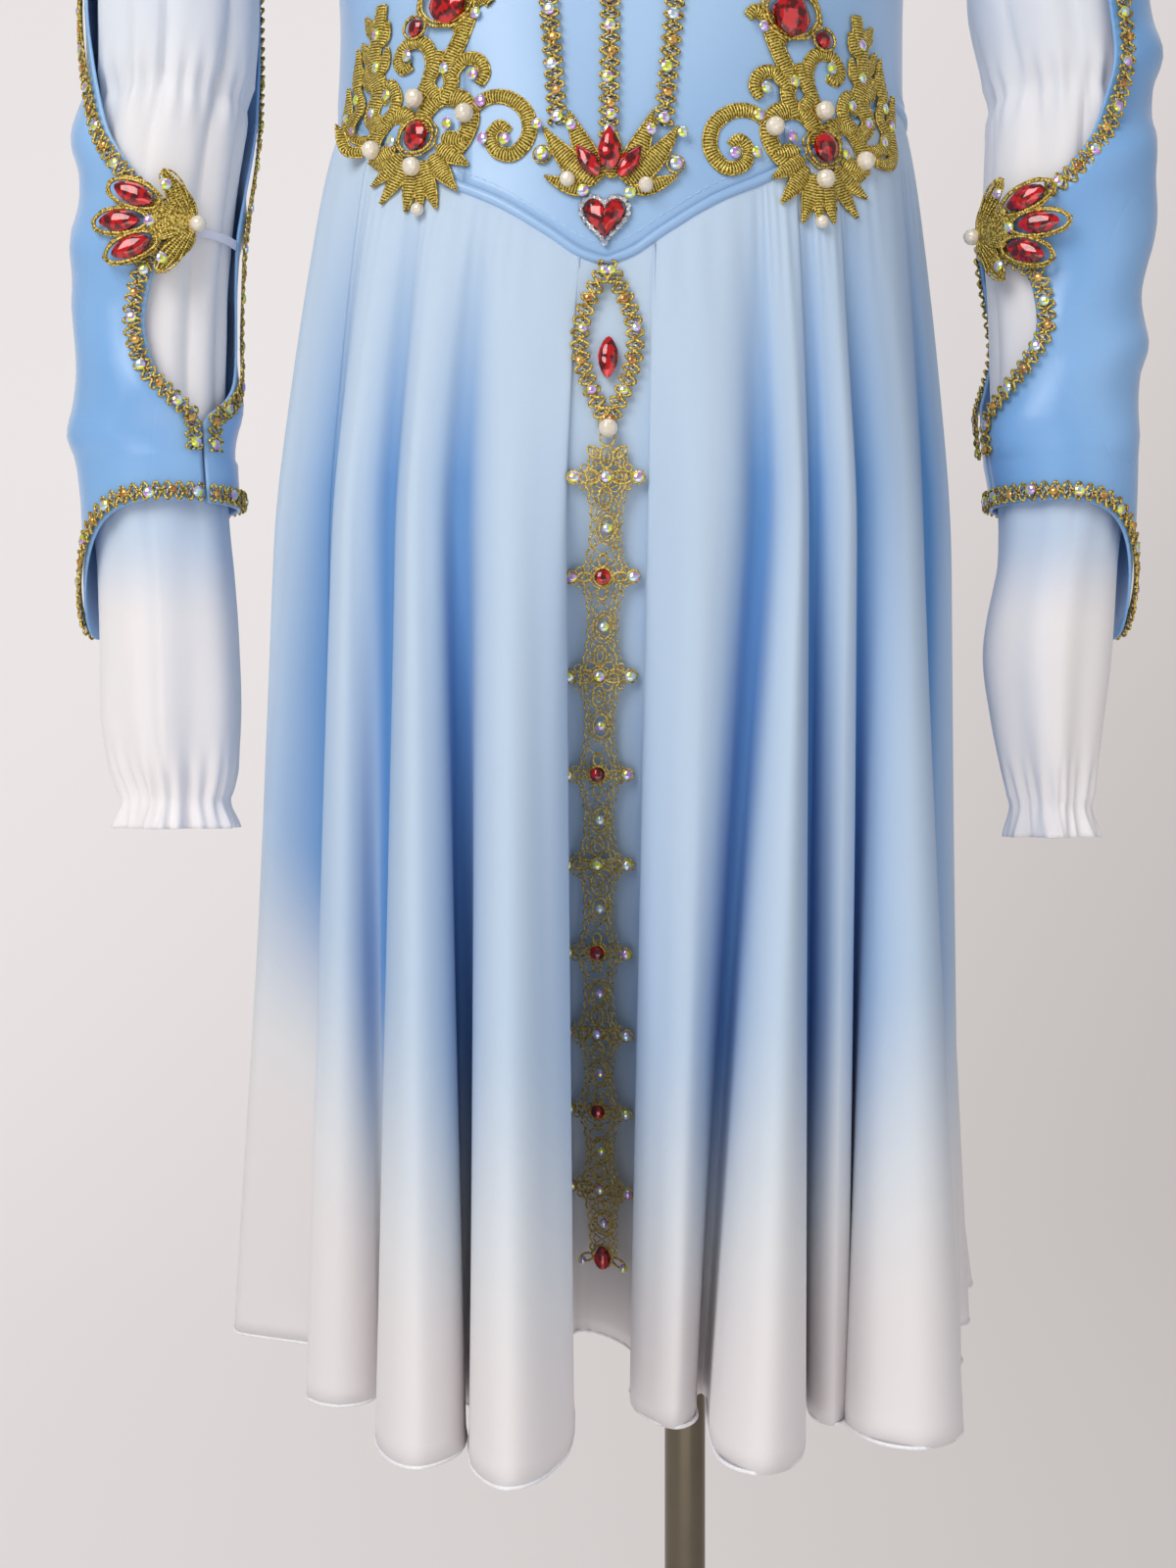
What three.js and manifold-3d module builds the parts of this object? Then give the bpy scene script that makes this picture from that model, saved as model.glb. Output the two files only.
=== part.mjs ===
/* Lyrical dance dress on a dress form.
   A satin basque bodice, a dip-dyed chiffon skirt in deep folds, and gathered chiffon
   sleeves under slashed satin oversleeves, trimmed with gimp braid, scroll appliques and stones.
   Millimetres, +Z up, front towards -Y, +X to the viewer's right, origin on the floor. */
import * as THREE from 'three';
import { mergeVertices } from 'three/addons/utils/BufferGeometryUtils.js';
import Module from 'manifold-3d';

const wasm = await Module();
wasm.setup();

/* ---------- driving dimensions ---------- */
const CLOTH = 1.5; // thickness of satin and chiffon walls
const EASE = 1; // cloth to dress form
const SEAM = 0.3; // between pieces sewn to each other
const OUTER = EASE + CLOTH; // outer face of the bodice over the form
const WAIST_Z = 1040; // waist seam at the sides
const HEM_Z = 476; // skirt hem
const HIP_Z = 862; // ring where the folds leave the form
const FORM_Z = 855; // underside of the form
const NECK_Z = 1330; // square neckline at the front
const NECK_HALF = 78; // half width of the square neckline
const BACK_NECK_Z = 1392; // back neckline at the centre
const UNDERARM_Z = 1290;
const ARMHOLE = { z: 1344, half: 54, front: 36, back: 30 }; // height, half height, cut in degrees
const ARMHOLE_ROOM = 2.7; // sleeve set inside the armhole's edge
const PRINCESS_HALF = 69; // princess seams at the waist, from the centre line
const PIPING = { half: 2, inner: 0.5, outer: 3.1, sides: 52 }; // cord in the waist seam
const SEAM_ROOM = 3.5; // height from the cord's middle to the panels' edges, which run aslant
const GIMP = { width: 9, thick: 1.4 }; // braid
const POLE = { x: 35, radius: 9.3 };
const BASE = { radius: 170, thick: 12, collar: 22, collarTop: 52 };
const FORM_SIDES = 24;
const SECTION_POWER = 2.3; // roundness of the torso sections
const TOP_Z = 1437; // shoulder ends of the straps
/* from the chest up the form is this much slimmer, and its shoulders lie this much under the straps */
const SHOULDER = { chest: 1240, slack: 2.7, from: 1370, to: 1450, sink: 1.6 };

/* dress form: section centre, half width, depth to the front and to the back at each height */
const TORSO = [
  { z: 855, centre: 5.5, half: 121, front: 84, back: 86 },
  { z: 862, centre: 5.5, half: 129, front: 92, back: 94 },
  { z: 880, centre: 5.5, half: 133, front: 97, back: 99 },
  { z: 920, centre: 5.5, half: 134, front: 100, back: 99 },
  { z: 960, centre: 5.5, half: 132, front: 101, back: 96 },
  { z: 1000, centre: 5.5, half: 129, front: 101, back: 92 },
  { z: 1040, centre: 5.5, half: 126, front: 101, back: 89 },
  { z: 1080, centre: 5.5, half: 125, front: 101, back: 85 },
  { z: 1120, centre: 5.0, half: 127, front: 103, back: 85 },
  { z: 1160, centre: 4.2, half: 132, front: 108, back: 88 },
  { z: 1200, centre: 3.2, half: 139, front: 116, back: 91 },
  { z: 1240, centre: 2.5, half: 145, front: 121, back: 94 },
  { z: 1265, centre: 2.5, half: 148, front: 117, back: 95 },
  { z: 1290, centre: 2.5, half: 150, front: 108, back: 96 },
  { z: 1320, centre: 2.5, half: 154, front: 96, back: 95 },
  { z: 1350, centre: 2.5, half: 157, front: 84, back: 91 },
  { z: 1375, centre: 2.5, half: 156, front: 71, back: 81 },
  { z: 1392, centre: 2.5, half: 150, front: 59, back: 69 },
  { z: 1404, centre: 2.5, half: 137, front: 50, back: 58 },
  { z: 1416, centre: 2.5, half: 117, front: 46, back: 52 },
  { z: 1428, centre: 2.5, half: 96, front: 46, back: 50 },
  { z: 1440, centre: 2.5, half: 76, front: 48, back: 50 },
  { z: 1455, centre: 2.5, half: 60, front: 50, back: 50 },
  { z: 1490, centre: 2.5, half: 53, front: 50, back: 50 },
  { z: 1524, centre: 2.5, half: 53, front: 51, back: 51 },
  { z: 1534, centre: 2.5, half: 46, front: 44, back: 44 },
];

/* waist seam: height at a distance from the centre-front point, round the front */
const WAIST_SEAM = [
  { away: 0, z: 957 },
  { away: 10, z: 961 },
  { away: 22, z: 969.5 },
  { away: 43, z: 983 },
  { away: 68, z: 995.5 },
  { away: 90, z: 1010 },
  { away: 112, z: 1029 },
  { away: 127, z: 1040 },
  { away: 150, z: 1040 },
];
const POINT_X = -2; // the basque point lies a little off the middle

/* skirt folds, from the centre front round the right, the back and the left: the crest's angle
   on the hip ring, its tip and width at the hem, then the hollow that follows it */
const FOLDS = [
  { hip: 11, x: 27, y: -88, width: 27, gapHip: 21, gapX: 40, gapY: -42, gap: 6, skew: 0 },
  { hip: 26, x: 58, y: -143, width: 40, gapHip: 31, gapX: 84, gapY: -50, gap: 6, skew: 0 },
  { hip: 36, x: 93, y: -84, width: 15, gapHip: 41, gapX: 101, gapY: -44, gap: 6, skew: 0 },
  { hip: 52, x: 124, y: -113, width: 50, gapHip: 67, gapX: 139, gapY: -18, gap: 8, skew: 0 },
  { hip: 80, x: 163, y: 4, width: 38, gapHip: 92, gapX: 138, gapY: 46, gap: 8, skew: 0 },
  { hip: 103, x: 180, y: 88, width: 42, gapHip: 114, gapX: 140, gapY: 110, gap: 8, skew: 0 },
  { hip: 124, x: 194, y: 176, width: 44, gapHip: 135, gapX: 142, gapY: 146, gap: 8, skew: 0 },
  { hip: 145, x: 132, y: 206, width: 42, gapHip: 154, gapX: 96, gapY: 144, gap: 8, skew: 0 },
  { hip: 163, x: 66, y: 188, width: 40, gapHip: 172, gapX: 37, gapY: 136, gap: 8, skew: 0 },
  { hip: 181, x: 8, y: 214, width: 42, gapHip: 190, gapX: -22, gapY: 140, gap: 8, skew: 0 },
  { hip: 199, x: -54, y: 190, width: 40, gapHip: 208, gapX: -84, gapY: 140, gap: 8, skew: 0 },
  { hip: 218, x: -118, y: 208, width: 42, gapHip: 229, gapX: -136, gapY: 146, gap: 8, skew: 0 },
  { hip: 242, x: -192, y: 172, width: 46, gapHip: 260, gapX: -146, gapY: 118, gap: 8, skew: 0 },
  { hip: 288, x: -183, y: 86, width: 60, gapHip: 307, gapX: -131, gapY: 30, gap: 8, skew: 0 },
  { hip: 316, x: -117, y: -58, width: 34, gapHip: 323.5, gapX: -98, gapY: -46, gap: 6, skew: 0 },
  { hip: 330.5, x: -76, y: -137, width: 36, gapHip: 337.5, gapX: -62, gapY: -60, gap: 6, skew: 0 },
  { hip: 346.5, x: -40, y: -159, width: 44, gapHip: 359, gapX: -3, gapY: 40, gap: 29, skew: -28 },
];
const HIP_RING = { centre: 1.5, half: 150, front: 111, back: 113 }; // mean line of the folds
const HIP_FOLD = 4; // crest and hollow either side of that line
const SKIRT_ROWS = [0, 0.07, 0.2, 0.45, 1, 1.25, 1.6, 2]; // seam 0, hip ring 1, hem 2
const FRONT_FOLDS = { first: 14, last: 4 }; // folds of the front panel, counted round the ring

/* sleeve tubes: underarm side and outer side in x and z, and half depth, down the arm */
const CAP = [
  { t: 1337, inX: 158, inZ: 1283, outX: 181, outZ: 1391, depth: 52 },
  { t: 1320, inX: 161, inZ: 1272, outX: 211, outZ: 1367, depth: 50 },
  { t: 1292, inX: 162, inZ: 1255, outX: 232, outZ: 1329, depth: 47 },
  { t: 1256, inX: 162, inZ: 1232, outX: 243, outZ: 1280, depth: 44 },
  { t: 1213, inX: 161, inZ: 1202, outX: 246, outZ: 1224, depth: 42 },
];
const ARM_LEFT = [
  { t: 1165, inX: 159, outX: 243, depth: 41 },
  { t: 1104, inX: 158, outX: 238, depth: 39 },
  { t: 1056, inX: 162, outX: 238.5, depth: 37 },
  { t: 1000, inX: 170, outX: 243, depth: 35 },
  { t: 960, inX: 172.5, outX: 243.8, depth: 34 },
  { t: 905, inX: 172.5, outX: 243.4, depth: 33 },
  { t: 870, inX: 171, outX: 240, depth: 32 },
  { t: 811, inX: 167.5, outX: 238, depth: 34 },
];
const ARM_RIGHT = [
  { t: 1165, inX: 160, outX: 246, depth: 41 },
  { t: 1104, inX: 162, outX: 247, depth: 40 },
  { t: 1056, inX: 171, outX: 248, depth: 38 },
  { t: 1000, inX: 170, outX: 247, depth: 36 },
  { t: 960, inX: 172, outX: 243.5, depth: 34 },
  { t: 905, inX: 172.5, outX: 241, depth: 33 },
  { t: 870, inX: 177, outX: 240, depth: 32 },
  { t: 811, inX: 172, outX: 235, depth: 34 },
];

/* chiffon undersleeve: how far it stands outside the tube above at each height */
const PUFF = [
  { t: 1300, out: -5 },
  { t: 1213, out: -5.4 },
  { t: 1178, out: -4 },
  { t: 1104, out: -3.4 },
  { t: 1066, out: -4 },
  { t: 1056, out: -6.5 },
  { t: 1046, out: -4 },
  { t: 1000, out: -3.2 },
  { t: 905, out: -4.2 },
  { t: 870, out: -3.6 },
];
/* lower sleeve below the satin cuff: inner and outer side of the puff, wrist gather and ruffle */
const WRIST_LEFT = [
  { t: 848, inX: 172.5, outX: 233.5, depth: 29, wave: 0.8 },
  { t: 811, inX: 169.8, outX: 232, depth: 30, wave: 1 },
  { t: 780, inX: 168.8, outX: 231.4, depth: 30, wave: 1.4 },
  { t: 753, inX: 170.4, outX: 227.3, depth: 27, wave: 1.6 },
  { t: 741, inX: 173.4, outX: 222.6, depth: 23, wave: 1.6 },
  { t: 737, inX: 174.6, outX: 221.4, depth: 22, wave: 1.2 },
  { t: 724, inX: 171.8, outX: 224.0, depth: 25, wave: 2.6 },
];
const WRIST_RIGHT = [
  { t: 848, inX: 179, outX: 232, depth: 28, wave: 0.8 },
  { t: 802, inX: 171, outX: 228.6, depth: 30, wave: 1.2 },
  { t: 773, inX: 174.6, outX: 224.8, depth: 28, wave: 1.4 },
  { t: 753, inX: 179, outX: 222, depth: 25, wave: 1.6 },
  { t: 739, inX: 183.2, outX: 219.8, depth: 21, wave: 1.6 },
  { t: 734, inX: 184.4, outX: 218.8, depth: 20, wave: 1.2 },
  { t: 720, inX: 182.5, outX: 221, depth: 23, wave: 2.6 },
];
const WAVES = 7; // gathers round the wrist that the wall follows

/* satin oversleeve: its two edges in degrees from the front, outwards counted up */
const SLASH = [
  { t: 1216, frontL: -44, innerL: -47, frontR: -79, innerR: -82 },
  { t: 1208, frontL: -28, innerL: -66, frontR: -62, innerR: -100 },
  { t: 1196, frontL: -4, innerL: -88, frontR: -38, innerR: -122 },
  { t: 1178, frontL: 30, innerL: -112, frontR: -8, innerR: -146 },
  { t: 1145, frontL: 62, innerL: -124, frontR: 14, innerR: -158 },
  { t: 1104, frontL: 70, innerL: -124, frontR: 18, innerR: -158 },
  { t: 1070, frontL: 54, innerL: -116, frontR: 20, innerR: -150 },
  { t: 1036, frontL: 32, innerL: -102, frontR: 8, innerR: -138 },
  { t: 1012, frontL: 3, innerL: -92, frontR: -16, innerR: -128 },
  { t: 1004, frontL: -10, innerL: -88, frontR: -35, innerR: -124 },
  { t: 991, frontL: -31, innerL: -84, frontR: -72, innerR: -118 },
  { t: 978, frontL: -17, innerL: -88, frontR: -51, innerR: -122 },
  { t: 968, frontL: -9, innerL: -92, frontR: -34, innerR: -126 },
  { t: 948, frontL: -4, innerL: -98, frontR: -29, innerR: -132 },
  { t: 930, frontL: -10, innerL: -88, frontR: -43, innerR: -122 },
  { t: 917, frontL: -27, innerL: -68, frontR: -64, innerR: -104 },
  { t: 908, frontL: -43.6, innerL: -46, frontR: -80, innerR: -82.4 },
];
const CUFF = { z: 870, drop: 59, at: 108, spread: 53 }; // lower edge, with its point on the outer side
const OVER_COLUMNS = 11;

/* ---------- small mathematics ---------- */
const rad = (degrees) => (degrees * Math.PI) / 180;
const lerp = (a, b, f) => a + (b - a) * f;
const clamp = (v, low, high) => Math.min(high, Math.max(low, v));

/* smooth monotone curve through the rows of a table, read at one column */
function curve(rows, key, column) {
  const sorted = [...rows].sort((a, b) => a[key] - b[key]);
  const x = sorted.map((row) => row[key]);
  const y = sorted.map((row) => row[column]);
  const slope = x.slice(1).map((v, i) => (y[i + 1] - y[i]) / (v - x[i]));
  const tangent = y.map((_, i) => {
    if (i === 0) return slope[0];
    if (i === y.length - 1) return slope[i - 1];
    const product = slope[i - 1] * slope[i];
    return product <= 0 ? 0 : (2 * product) / (slope[i - 1] + slope[i]);
  });
  return (at) => {
    const v = clamp(at, x[0], x[x.length - 1]);
    let i = 0;
    while (i < x.length - 2 && v > x[i + 1]) i += 1;
    const h = x[i + 1] - x[i];
    const f = (v - x[i]) / h;
    const a = (1 + 2 * f) * (1 - f) ** 2 * y[i] + f * (1 - f) ** 2 * h * tangent[i];
    return a + f * f * (3 - 2 * f) * y[i + 1] + f * f * (f - 1) * h * tangent[i + 1];
  };
}

/* closed solid between an outer and an inner grid of points; a round grid joins its last column
   to its first */
function wall(outer, inner, round) {
  const rows = outer.length;
  const columns = outer[0].length;
  const points = [...outer.flat(), ...inner.flat()];
  const half = rows * columns;
  const at = (j, i) => j * columns + (i % columns);
  const faces = [];
  const quad = (a, b, c, d) => faces.push(a, b, c, a, c, d);
  const spans = round ? columns : columns - 1;
  for (let i = 0; i < spans; i += 1) {
    for (let j = 0; j < rows - 1; j += 1) {
      quad(at(j, i), at(j, i + 1), at(j + 1, i + 1), at(j + 1, i));
      quad(half + at(j, i), half + at(j + 1, i), half + at(j + 1, i + 1), half + at(j, i + 1));
    }
    quad(at(0, i + 1), at(0, i), half + at(0, i), half + at(0, i + 1));
    const end = rows - 1;
    quad(at(end, i), at(end, i + 1), half + at(end, i + 1), half + at(end, i));
  }
  if (!round) {
    const side = columns - 1;
    for (let j = 0; j < rows - 1; j += 1) {
      quad(at(j, 0), at(j + 1, 0), half + at(j + 1, 0), half + at(j, 0));
      quad(at(j + 1, side), at(j, side), half + at(j, side), half + at(j + 1, side));
    }
  }
  return closedGeometry(points, faces);
}

/* indexed geometry whose faces point outwards */
function closedGeometry(points, faces) {
  let volume = 0;
  for (let f = 0; f < faces.length; f += 3) {
    const [a, b, c] = [points[faces[f]], points[faces[f + 1]], points[faces[f + 2]]];
    volume += a.dot(new THREE.Vector3().crossVectors(b, c));
  }
  if (volume < 0) faces.reverse();
  const geometry = new THREE.BufferGeometry();
  const numbers = points.flatMap((p) => [p.x, p.y, p.z]);
  geometry.setAttribute('position', new THREE.Float32BufferAttribute(numbers, 3));
  geometry.setIndex(faces);
  return geometry;
}

/* solid library in and out: only joins and cuts */
function toSolid(geometry) {
  const bare = geometry.clone();
  bare.deleteAttribute('normal');
  bare.deleteAttribute('uv');
  const merged = mergeVertices(bare, 1e-4);
  const vertProperties = new Float32Array(merged.attributes.position.array);
  const triVerts = new Uint32Array(merged.index.array);
  return new wasm.Manifold(new wasm.Mesh({ numProp: 3, vertProperties, triVerts }));
}

function fromSolid(solid) {
  const mesh = solid.getMesh();
  const geometry = new THREE.BufferGeometry();
  const position = new Float32Array(mesh.vertProperties);
  geometry.setAttribute('position', new THREE.BufferAttribute(position, 3));
  geometry.setIndex([...mesh.triVerts]);
  return geometry;
}

/* ---------- the torso ---------- */
const torso = {
  centre: curve(TORSO, 'z', 'centre'),
  half: curve(TORSO, 'z', 'half'),
  front: curve(TORSO, 'z', 'front'),
  back: curve(TORSO, 'z', 'back'),
};
const bend = (value, power) => Math.sign(value) * Math.abs(value) ** (2 / power);

/* point of the torso at an angle from the front, moved out */
function torsoPoint(degrees, z, out) {
  const side = bend(Math.sin(rad(degrees)), SECTION_POWER);
  const deep = bend(Math.cos(rad(degrees)), SECTION_POWER);
  const depth = (deep > 0 ? torso.front(z) : torso.back(z)) + out;
  return new THREE.Vector3(torso.centre(z) + (torso.half(z) + out) * side, -depth * deep, z);
}

/* angle from the front at which the torso's surface has this x */
function frontAngle(x, z) {
  const share = clamp((x - torso.centre(z)) / (torso.half(z) + OUTER), -1, 1);
  return (Math.asin(Math.sign(share) * Math.abs(share) ** (SECTION_POWER / 2)) * 180) / Math.PI;
}

const seamHeight = curve(WAIST_SEAM, 'away', 'z');
function seamZ(degrees) {
  if (Math.abs(degrees) > 90) return WAIST_Z;
  const guess = torsoPoint(degrees, WAIST_Z, OUTER);
  return seamHeight(Math.abs(guess.x - POINT_X));
}

/* point on the front of the bodice or skirt top, over the piping, at a distance from the point */
function frontPoint(x, z, out) {
  const below = Math.max(0, seamHeight(Math.abs(x - POINT_X)) - z);
  return torsoPoint(frontAngle(x, z), z, PIPING.outer + SEAM + out + skirtFlare(below));
}
const SKIRT_FLARE = 0.2; // skirt standing off the form just below the seam
const skirtFlare = (below) => Math.min(9, below * SKIRT_FLARE);

function buildForm() {
  const rows = TORSO.map((row) =>
    Array.from({ length: FORM_SIDES }, (_, i) => {
      const point = torsoPoint((360 * i) / FORM_SIDES, row.z, row.z >= SHOULDER.chest ? -SHOULDER.slack : 0);
      if (row.z > SHOULDER.from && row.z < SHOULDER.to) point.z -= SHOULDER.sink;
      return point;
    }),
  );
  const points = rows.flat();
  const faces = [];
  const last = rows.length - 1;
  for (let i = 0; i < FORM_SIDES; i += 1) {
    const next = (i + 1) % FORM_SIDES;
    for (let j = 0; j < last; j += 1) {
      const [a, b] = [j * FORM_SIDES + i, j * FORM_SIDES + next];
      faces.push(a, b, b + FORM_SIDES, a, b + FORM_SIDES, a + FORM_SIDES);
    }
  }
  for (let i = 1; i < FORM_SIDES - 1; i += 1) {
    faces.push(0, i + 1, i);
    faces.push(last * FORM_SIDES, last * FORM_SIDES + i, last * FORM_SIDES + i + 1);
  }
  return closedGeometry(points, faces);
}

/* ---------- bodice ---------- */
const PRINCESS_LEAN = 0.031; // how much the princess seams spread for each millimetre up
function princessAngle(z) {
  const half = PRINCESS_HALF + clamp(z - WAIST_Z, 0, NECK_Z - WAIST_Z) * PRINCESS_LEAN;
  return frontAngle(half, z) - frontAngle(0, z);
}

/* armhole edge: how many degrees it cuts in from the side at a height */
function armholeCut(z, depth) {
  const share = (z - ARMHOLE.z) / ARMHOLE.half;
  return Math.abs(share) >= 1 ? 0 : depth * Math.sqrt(1 - share * share);
}

const LOWER_TOP = 1080; // height from which a panel's rows are level

/* bodice panel between two edges given in degrees at each height */
function bodicePanel(heights, columns, startAt, endAt) {
  const grid = (out) =>
    heights.map((height) =>
      Array.from({ length: columns + 1 }, (_, i) => {
        const edge = (z) => lerp(startAt(z), endAt(z), i / columns);
        const bottom = seamZ(edge(WAIST_Z)) + SEAM_ROOM;
        const z = height > WAIST_Z ? height : lerp(bottom, LOWER_TOP, height);
        return torsoPoint(edge(z), z, out);
      }),
    );
  return wall(grid(OUTER), grid(EASE), false);
}
const LOWER = [0, 1]; // rows as shares from the seam up to LOWER_TOP
const CENTRE_HEIGHTS = [...LOWER, 1120, 1160, 1200, 1240, 1265, UNDERARM_Z, NECK_Z];
const STRAP_HEIGHTS = [
  ...LOWER, 1120, 1160, 1200, 1240, 1265, UNDERARM_Z, 1295, 1306, 1320, 1350, 1375, BACK_NECK_Z, 1398,
  1404, 1416, 1428, TOP_Z,
];
const SIDE = 90 - 0.12; // side and shoulder seams, with their gap
const SEAM_DEGREES = 0.09; // half a gap at the princess and centre-back seams
const STRAP_INNER = NECK_HALF + 2.5; // straps' inner edge from the centre line
const BACK_DIP = 20; // half width of the back neckline's lowest part

function frontEdge(z) {
  if (z <= NECK_Z) return princessAngle(z) + SEAM_DEGREES;
  return frontAngle(STRAP_INNER, z);
}
function backEdge(z) {
  if (z <= BACK_NECK_Z) return 180 - SEAM_DEGREES;
  const rise = clamp((z - BACK_NECK_Z) / (TOP_Z - BACK_NECK_Z), 0, 1);
  return 180 - frontAngle(lerp(BACK_DIP, STRAP_INNER, Math.sqrt(rise)), z);
}
const mirrored = (edge, side) => (z) => side * edge(z);

function bodicePanels() {
  const panels = [];
  const sideGap = (cut) => (z) => SIDE - armholeCut(z, cut);
  const [start, end] = [(z) => SEAM_DEGREES - princessAngle(z), (z) => princessAngle(z) - SEAM_DEGREES];
  panels.push(['bodice_front_centre', bodicePanel(CENTRE_HEIGHTS, 8, start, end)]);
  for (const [name, side] of [['left', -1], ['right', 1]]) {
    const front = sideGap(ARMHOLE.front);
    const back = (z) => 180 - SIDE + armholeCut(z, ARMHOLE.back);
    panels.push([`bodice_front_side_${name}`,
      bodicePanel(STRAP_HEIGHTS, 5, mirrored(frontEdge, side), mirrored(front, side))]);
    panels.push([`bodice_back_${name}`,
      bodicePanel(STRAP_HEIGHTS, 6, mirrored(back, side), mirrored(backEdge, side))]);
  }
  return panels;
}

/* cord sewn into the waist seam all the way round */
function buildPiping() {
  const ring = (out, lift) =>
    Array.from({ length: PIPING.sides }, (_, i) => {
      const degrees = (360 * i) / PIPING.sides - 180;
      return torsoPoint(degrees, seamZ(degrees) + lift, out);
    });
  const outer = [ring(PIPING.outer, PIPING.half * 0.6), ring(PIPING.outer, -PIPING.half * 0.6)];
  const inner = [ring(PIPING.inner, PIPING.half), ring(PIPING.inner, -PIPING.half)];
  return wall(outer, inner, true);
}

/* ---------- skirt ---------- */
const FOLD_SHAPE = [ // stations across a fold: height up the fold, share of its width, share of its angle
  { up: 0.55, across: -0.5, turn: -0.6, lift: 0 },
  { up: 0.86, across: -0.36, turn: -0.3, lift: 0.6 },
  { up: 1, across: 0, turn: 0, lift: 1 },
  { up: 0.86, across: 0.36, turn: 0.3, lift: 0.6 },
  { up: 0.55, across: 0.5, turn: 0.6, lift: 0 },
];

const HOLLOW = { narrow: 2, wide: 8 }; // degrees of the hip ring that a hollow takes

/* stations round the skirt: angle on the hip ring, lift of the fold there, and place at the hem */
function skirtStations() {
  const stations = [];
  FOLDS.forEach((fold, k) => {
    const before = FOLDS[(k + FOLDS.length - 1) % FOLDS.length];
    const beforeHip = before.gapHip > fold.hip ? before.gapHip - 360 : before.gapHip;
    const tip = new THREE.Vector2(fold.x, fold.y);
    const root = new THREE.Vector2((before.gapX + fold.gapX) / 2, (before.gapY + fold.gapY) / 2);
    const up = tip.clone().sub(root);
    const across = new THREE.Vector2(-up.y, up.x).normalize();
    for (const part of FOLD_SHAPE) {
      const hem = root.clone().addScaledVector(up, part.up);
      hem.addScaledVector(across, part.across * fold.width);
      const reach = part.turn < 0 ? fold.hip - beforeHip : fold.gapHip - fold.hip;
      stations.push({ hip: fold.hip + part.turn * reach, lift: part.lift, hem });
    }
    const after = FOLDS[(k + 1) % FOLDS.length];
    const along = new THREE.Vector2(after.x - fold.x, after.y - fold.y).normalize();
    if (fold.skew) along.set(1, fold.skew / fold.gap);
    for (const end of [-0.5, 0.5]) {
      const hem = new THREE.Vector2(fold.gapX, fold.gapY).addScaledVector(along, end * fold.gap);
      const spread = fold.skew ? HOLLOW.wide : HOLLOW.narrow;
      stations.push({ hip: fold.gapHip + end * spread, lift: -1, hem });
    }
  });
  return stations;
}

/* skirt point of a station at a level: 0 seam, 1 hip ring, 2 hem */
const TOP_REACH = 2.5; // degrees either side that the skirt's top edge stays under the seam
const FLARE_POWER = 0.72; // the skirt leaves the form at once below the seam
function skirtPoint(station, level) {
  const { hip, lift, hem } = station;
  const degrees = hip > 180 ? hip - 360 : hip;
  const side = bend(Math.sin(rad(degrees)), SECTION_POWER);
  const deep = bend(Math.cos(rad(degrees)), SECTION_POWER);
  const fold = lift * HIP_FOLD;
  const depth = (deep > 0 ? HIP_RING.front : HIP_RING.back) + fold;
  const ring = new THREE.Vector3(HIP_RING.centre + (HIP_RING.half + fold) * side, -depth * deep, HIP_Z);
  if (level >= 1) {
    const f = level - 1;
    return new THREE.Vector3(lerp(ring.x, hem.x, f), lerp(ring.y, hem.y, f), lerp(HIP_Z, HEM_Z, f));
  }
  const nearby = [-TOP_REACH, 0, TOP_REACH].map((turn) => seamZ(degrees + turn));
  const topZ = Math.min(...nearby) - SEAM_ROOM;
  const top = torsoPoint(degrees, topZ, OUTER + SEAM);
  const flare = level ** FLARE_POWER;
  return new THREE.Vector3(lerp(top.x, ring.x, flare), lerp(top.y, ring.y, flare), lerp(topZ, HIP_Z, level));
}

/* the same row moved inwards by the cloth's thickness, square to the fold */
function inward(row, distance, round) {
  const count = row.length;
  return row.map((point, i) => {
    const before = row[round ? (i + count - 1) % count : Math.max(0, i - 1)];
    const after = row[round ? (i + 1) % count : Math.min(count - 1, i + 1)];
    const along = new THREE.Vector2(after.x - before.x, after.y - before.y).normalize();
    return new THREE.Vector3(point.x - along.y * distance, point.y + along.x * distance, point.z);
  });
}

function skirtPanels() {
  const stations = skirtStations();
  const perFold = FOLD_SHAPE.length + 2;
  const rightSeam = (FRONT_FOLDS.last + 1) * perFold - 2;
  const leftSeam = FRONT_FOLDS.first * perFold - 2;
  const total = stations.length;
  const rows = SKIRT_ROWS.map((level) => stations.map((station) => skirtPoint(station, level)));
  const inner = rows.map((row) => inward(row, CLOTH, true));
  const pick = (grid, from, to) =>
    grid.map((row) => {
      const cut = [];
      for (let i = from; i <= to; i += 1) cut.push(row[i % total].clone());
      const trim = (a, b) => a.addScaledVector(b.clone().sub(a).normalize(), SEAM / 2);
      trim(cut[0], cut[1]);
      trim(cut[cut.length - 1], cut[cut.length - 2]);
      return cut;
    });
  const panel = (from, to) => wall(pick(rows, from, to), pick(inner, from, to), false);
  return [
    ['skirt_front', panel(leftSeam, rightSeam + total)],
    ['skirt_back', panel(rightSeam, leftSeam)],
  ];
}

/* point on the centre-front hollow of the skirt at a height, moved out towards the front */
function hollowPoint(x, z, out) {
  const stations = skirtStations();
  const total = stations.length;
  const top = seamHeight(0);
  const level = z >= HIP_Z ? (top - z) / (top - HIP_Z) : 1 + (HIP_Z - z) / (HIP_Z - HEM_Z);
  const [left, right] = [stations[total - 2], stations[total - 1]].map((s) => skirtPoint(s, level));
  const f = (x - left.x) / (right.x - left.x);
  return new THREE.Vector3(x, lerp(left.y, right.y, f) - out, z);
}

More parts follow.
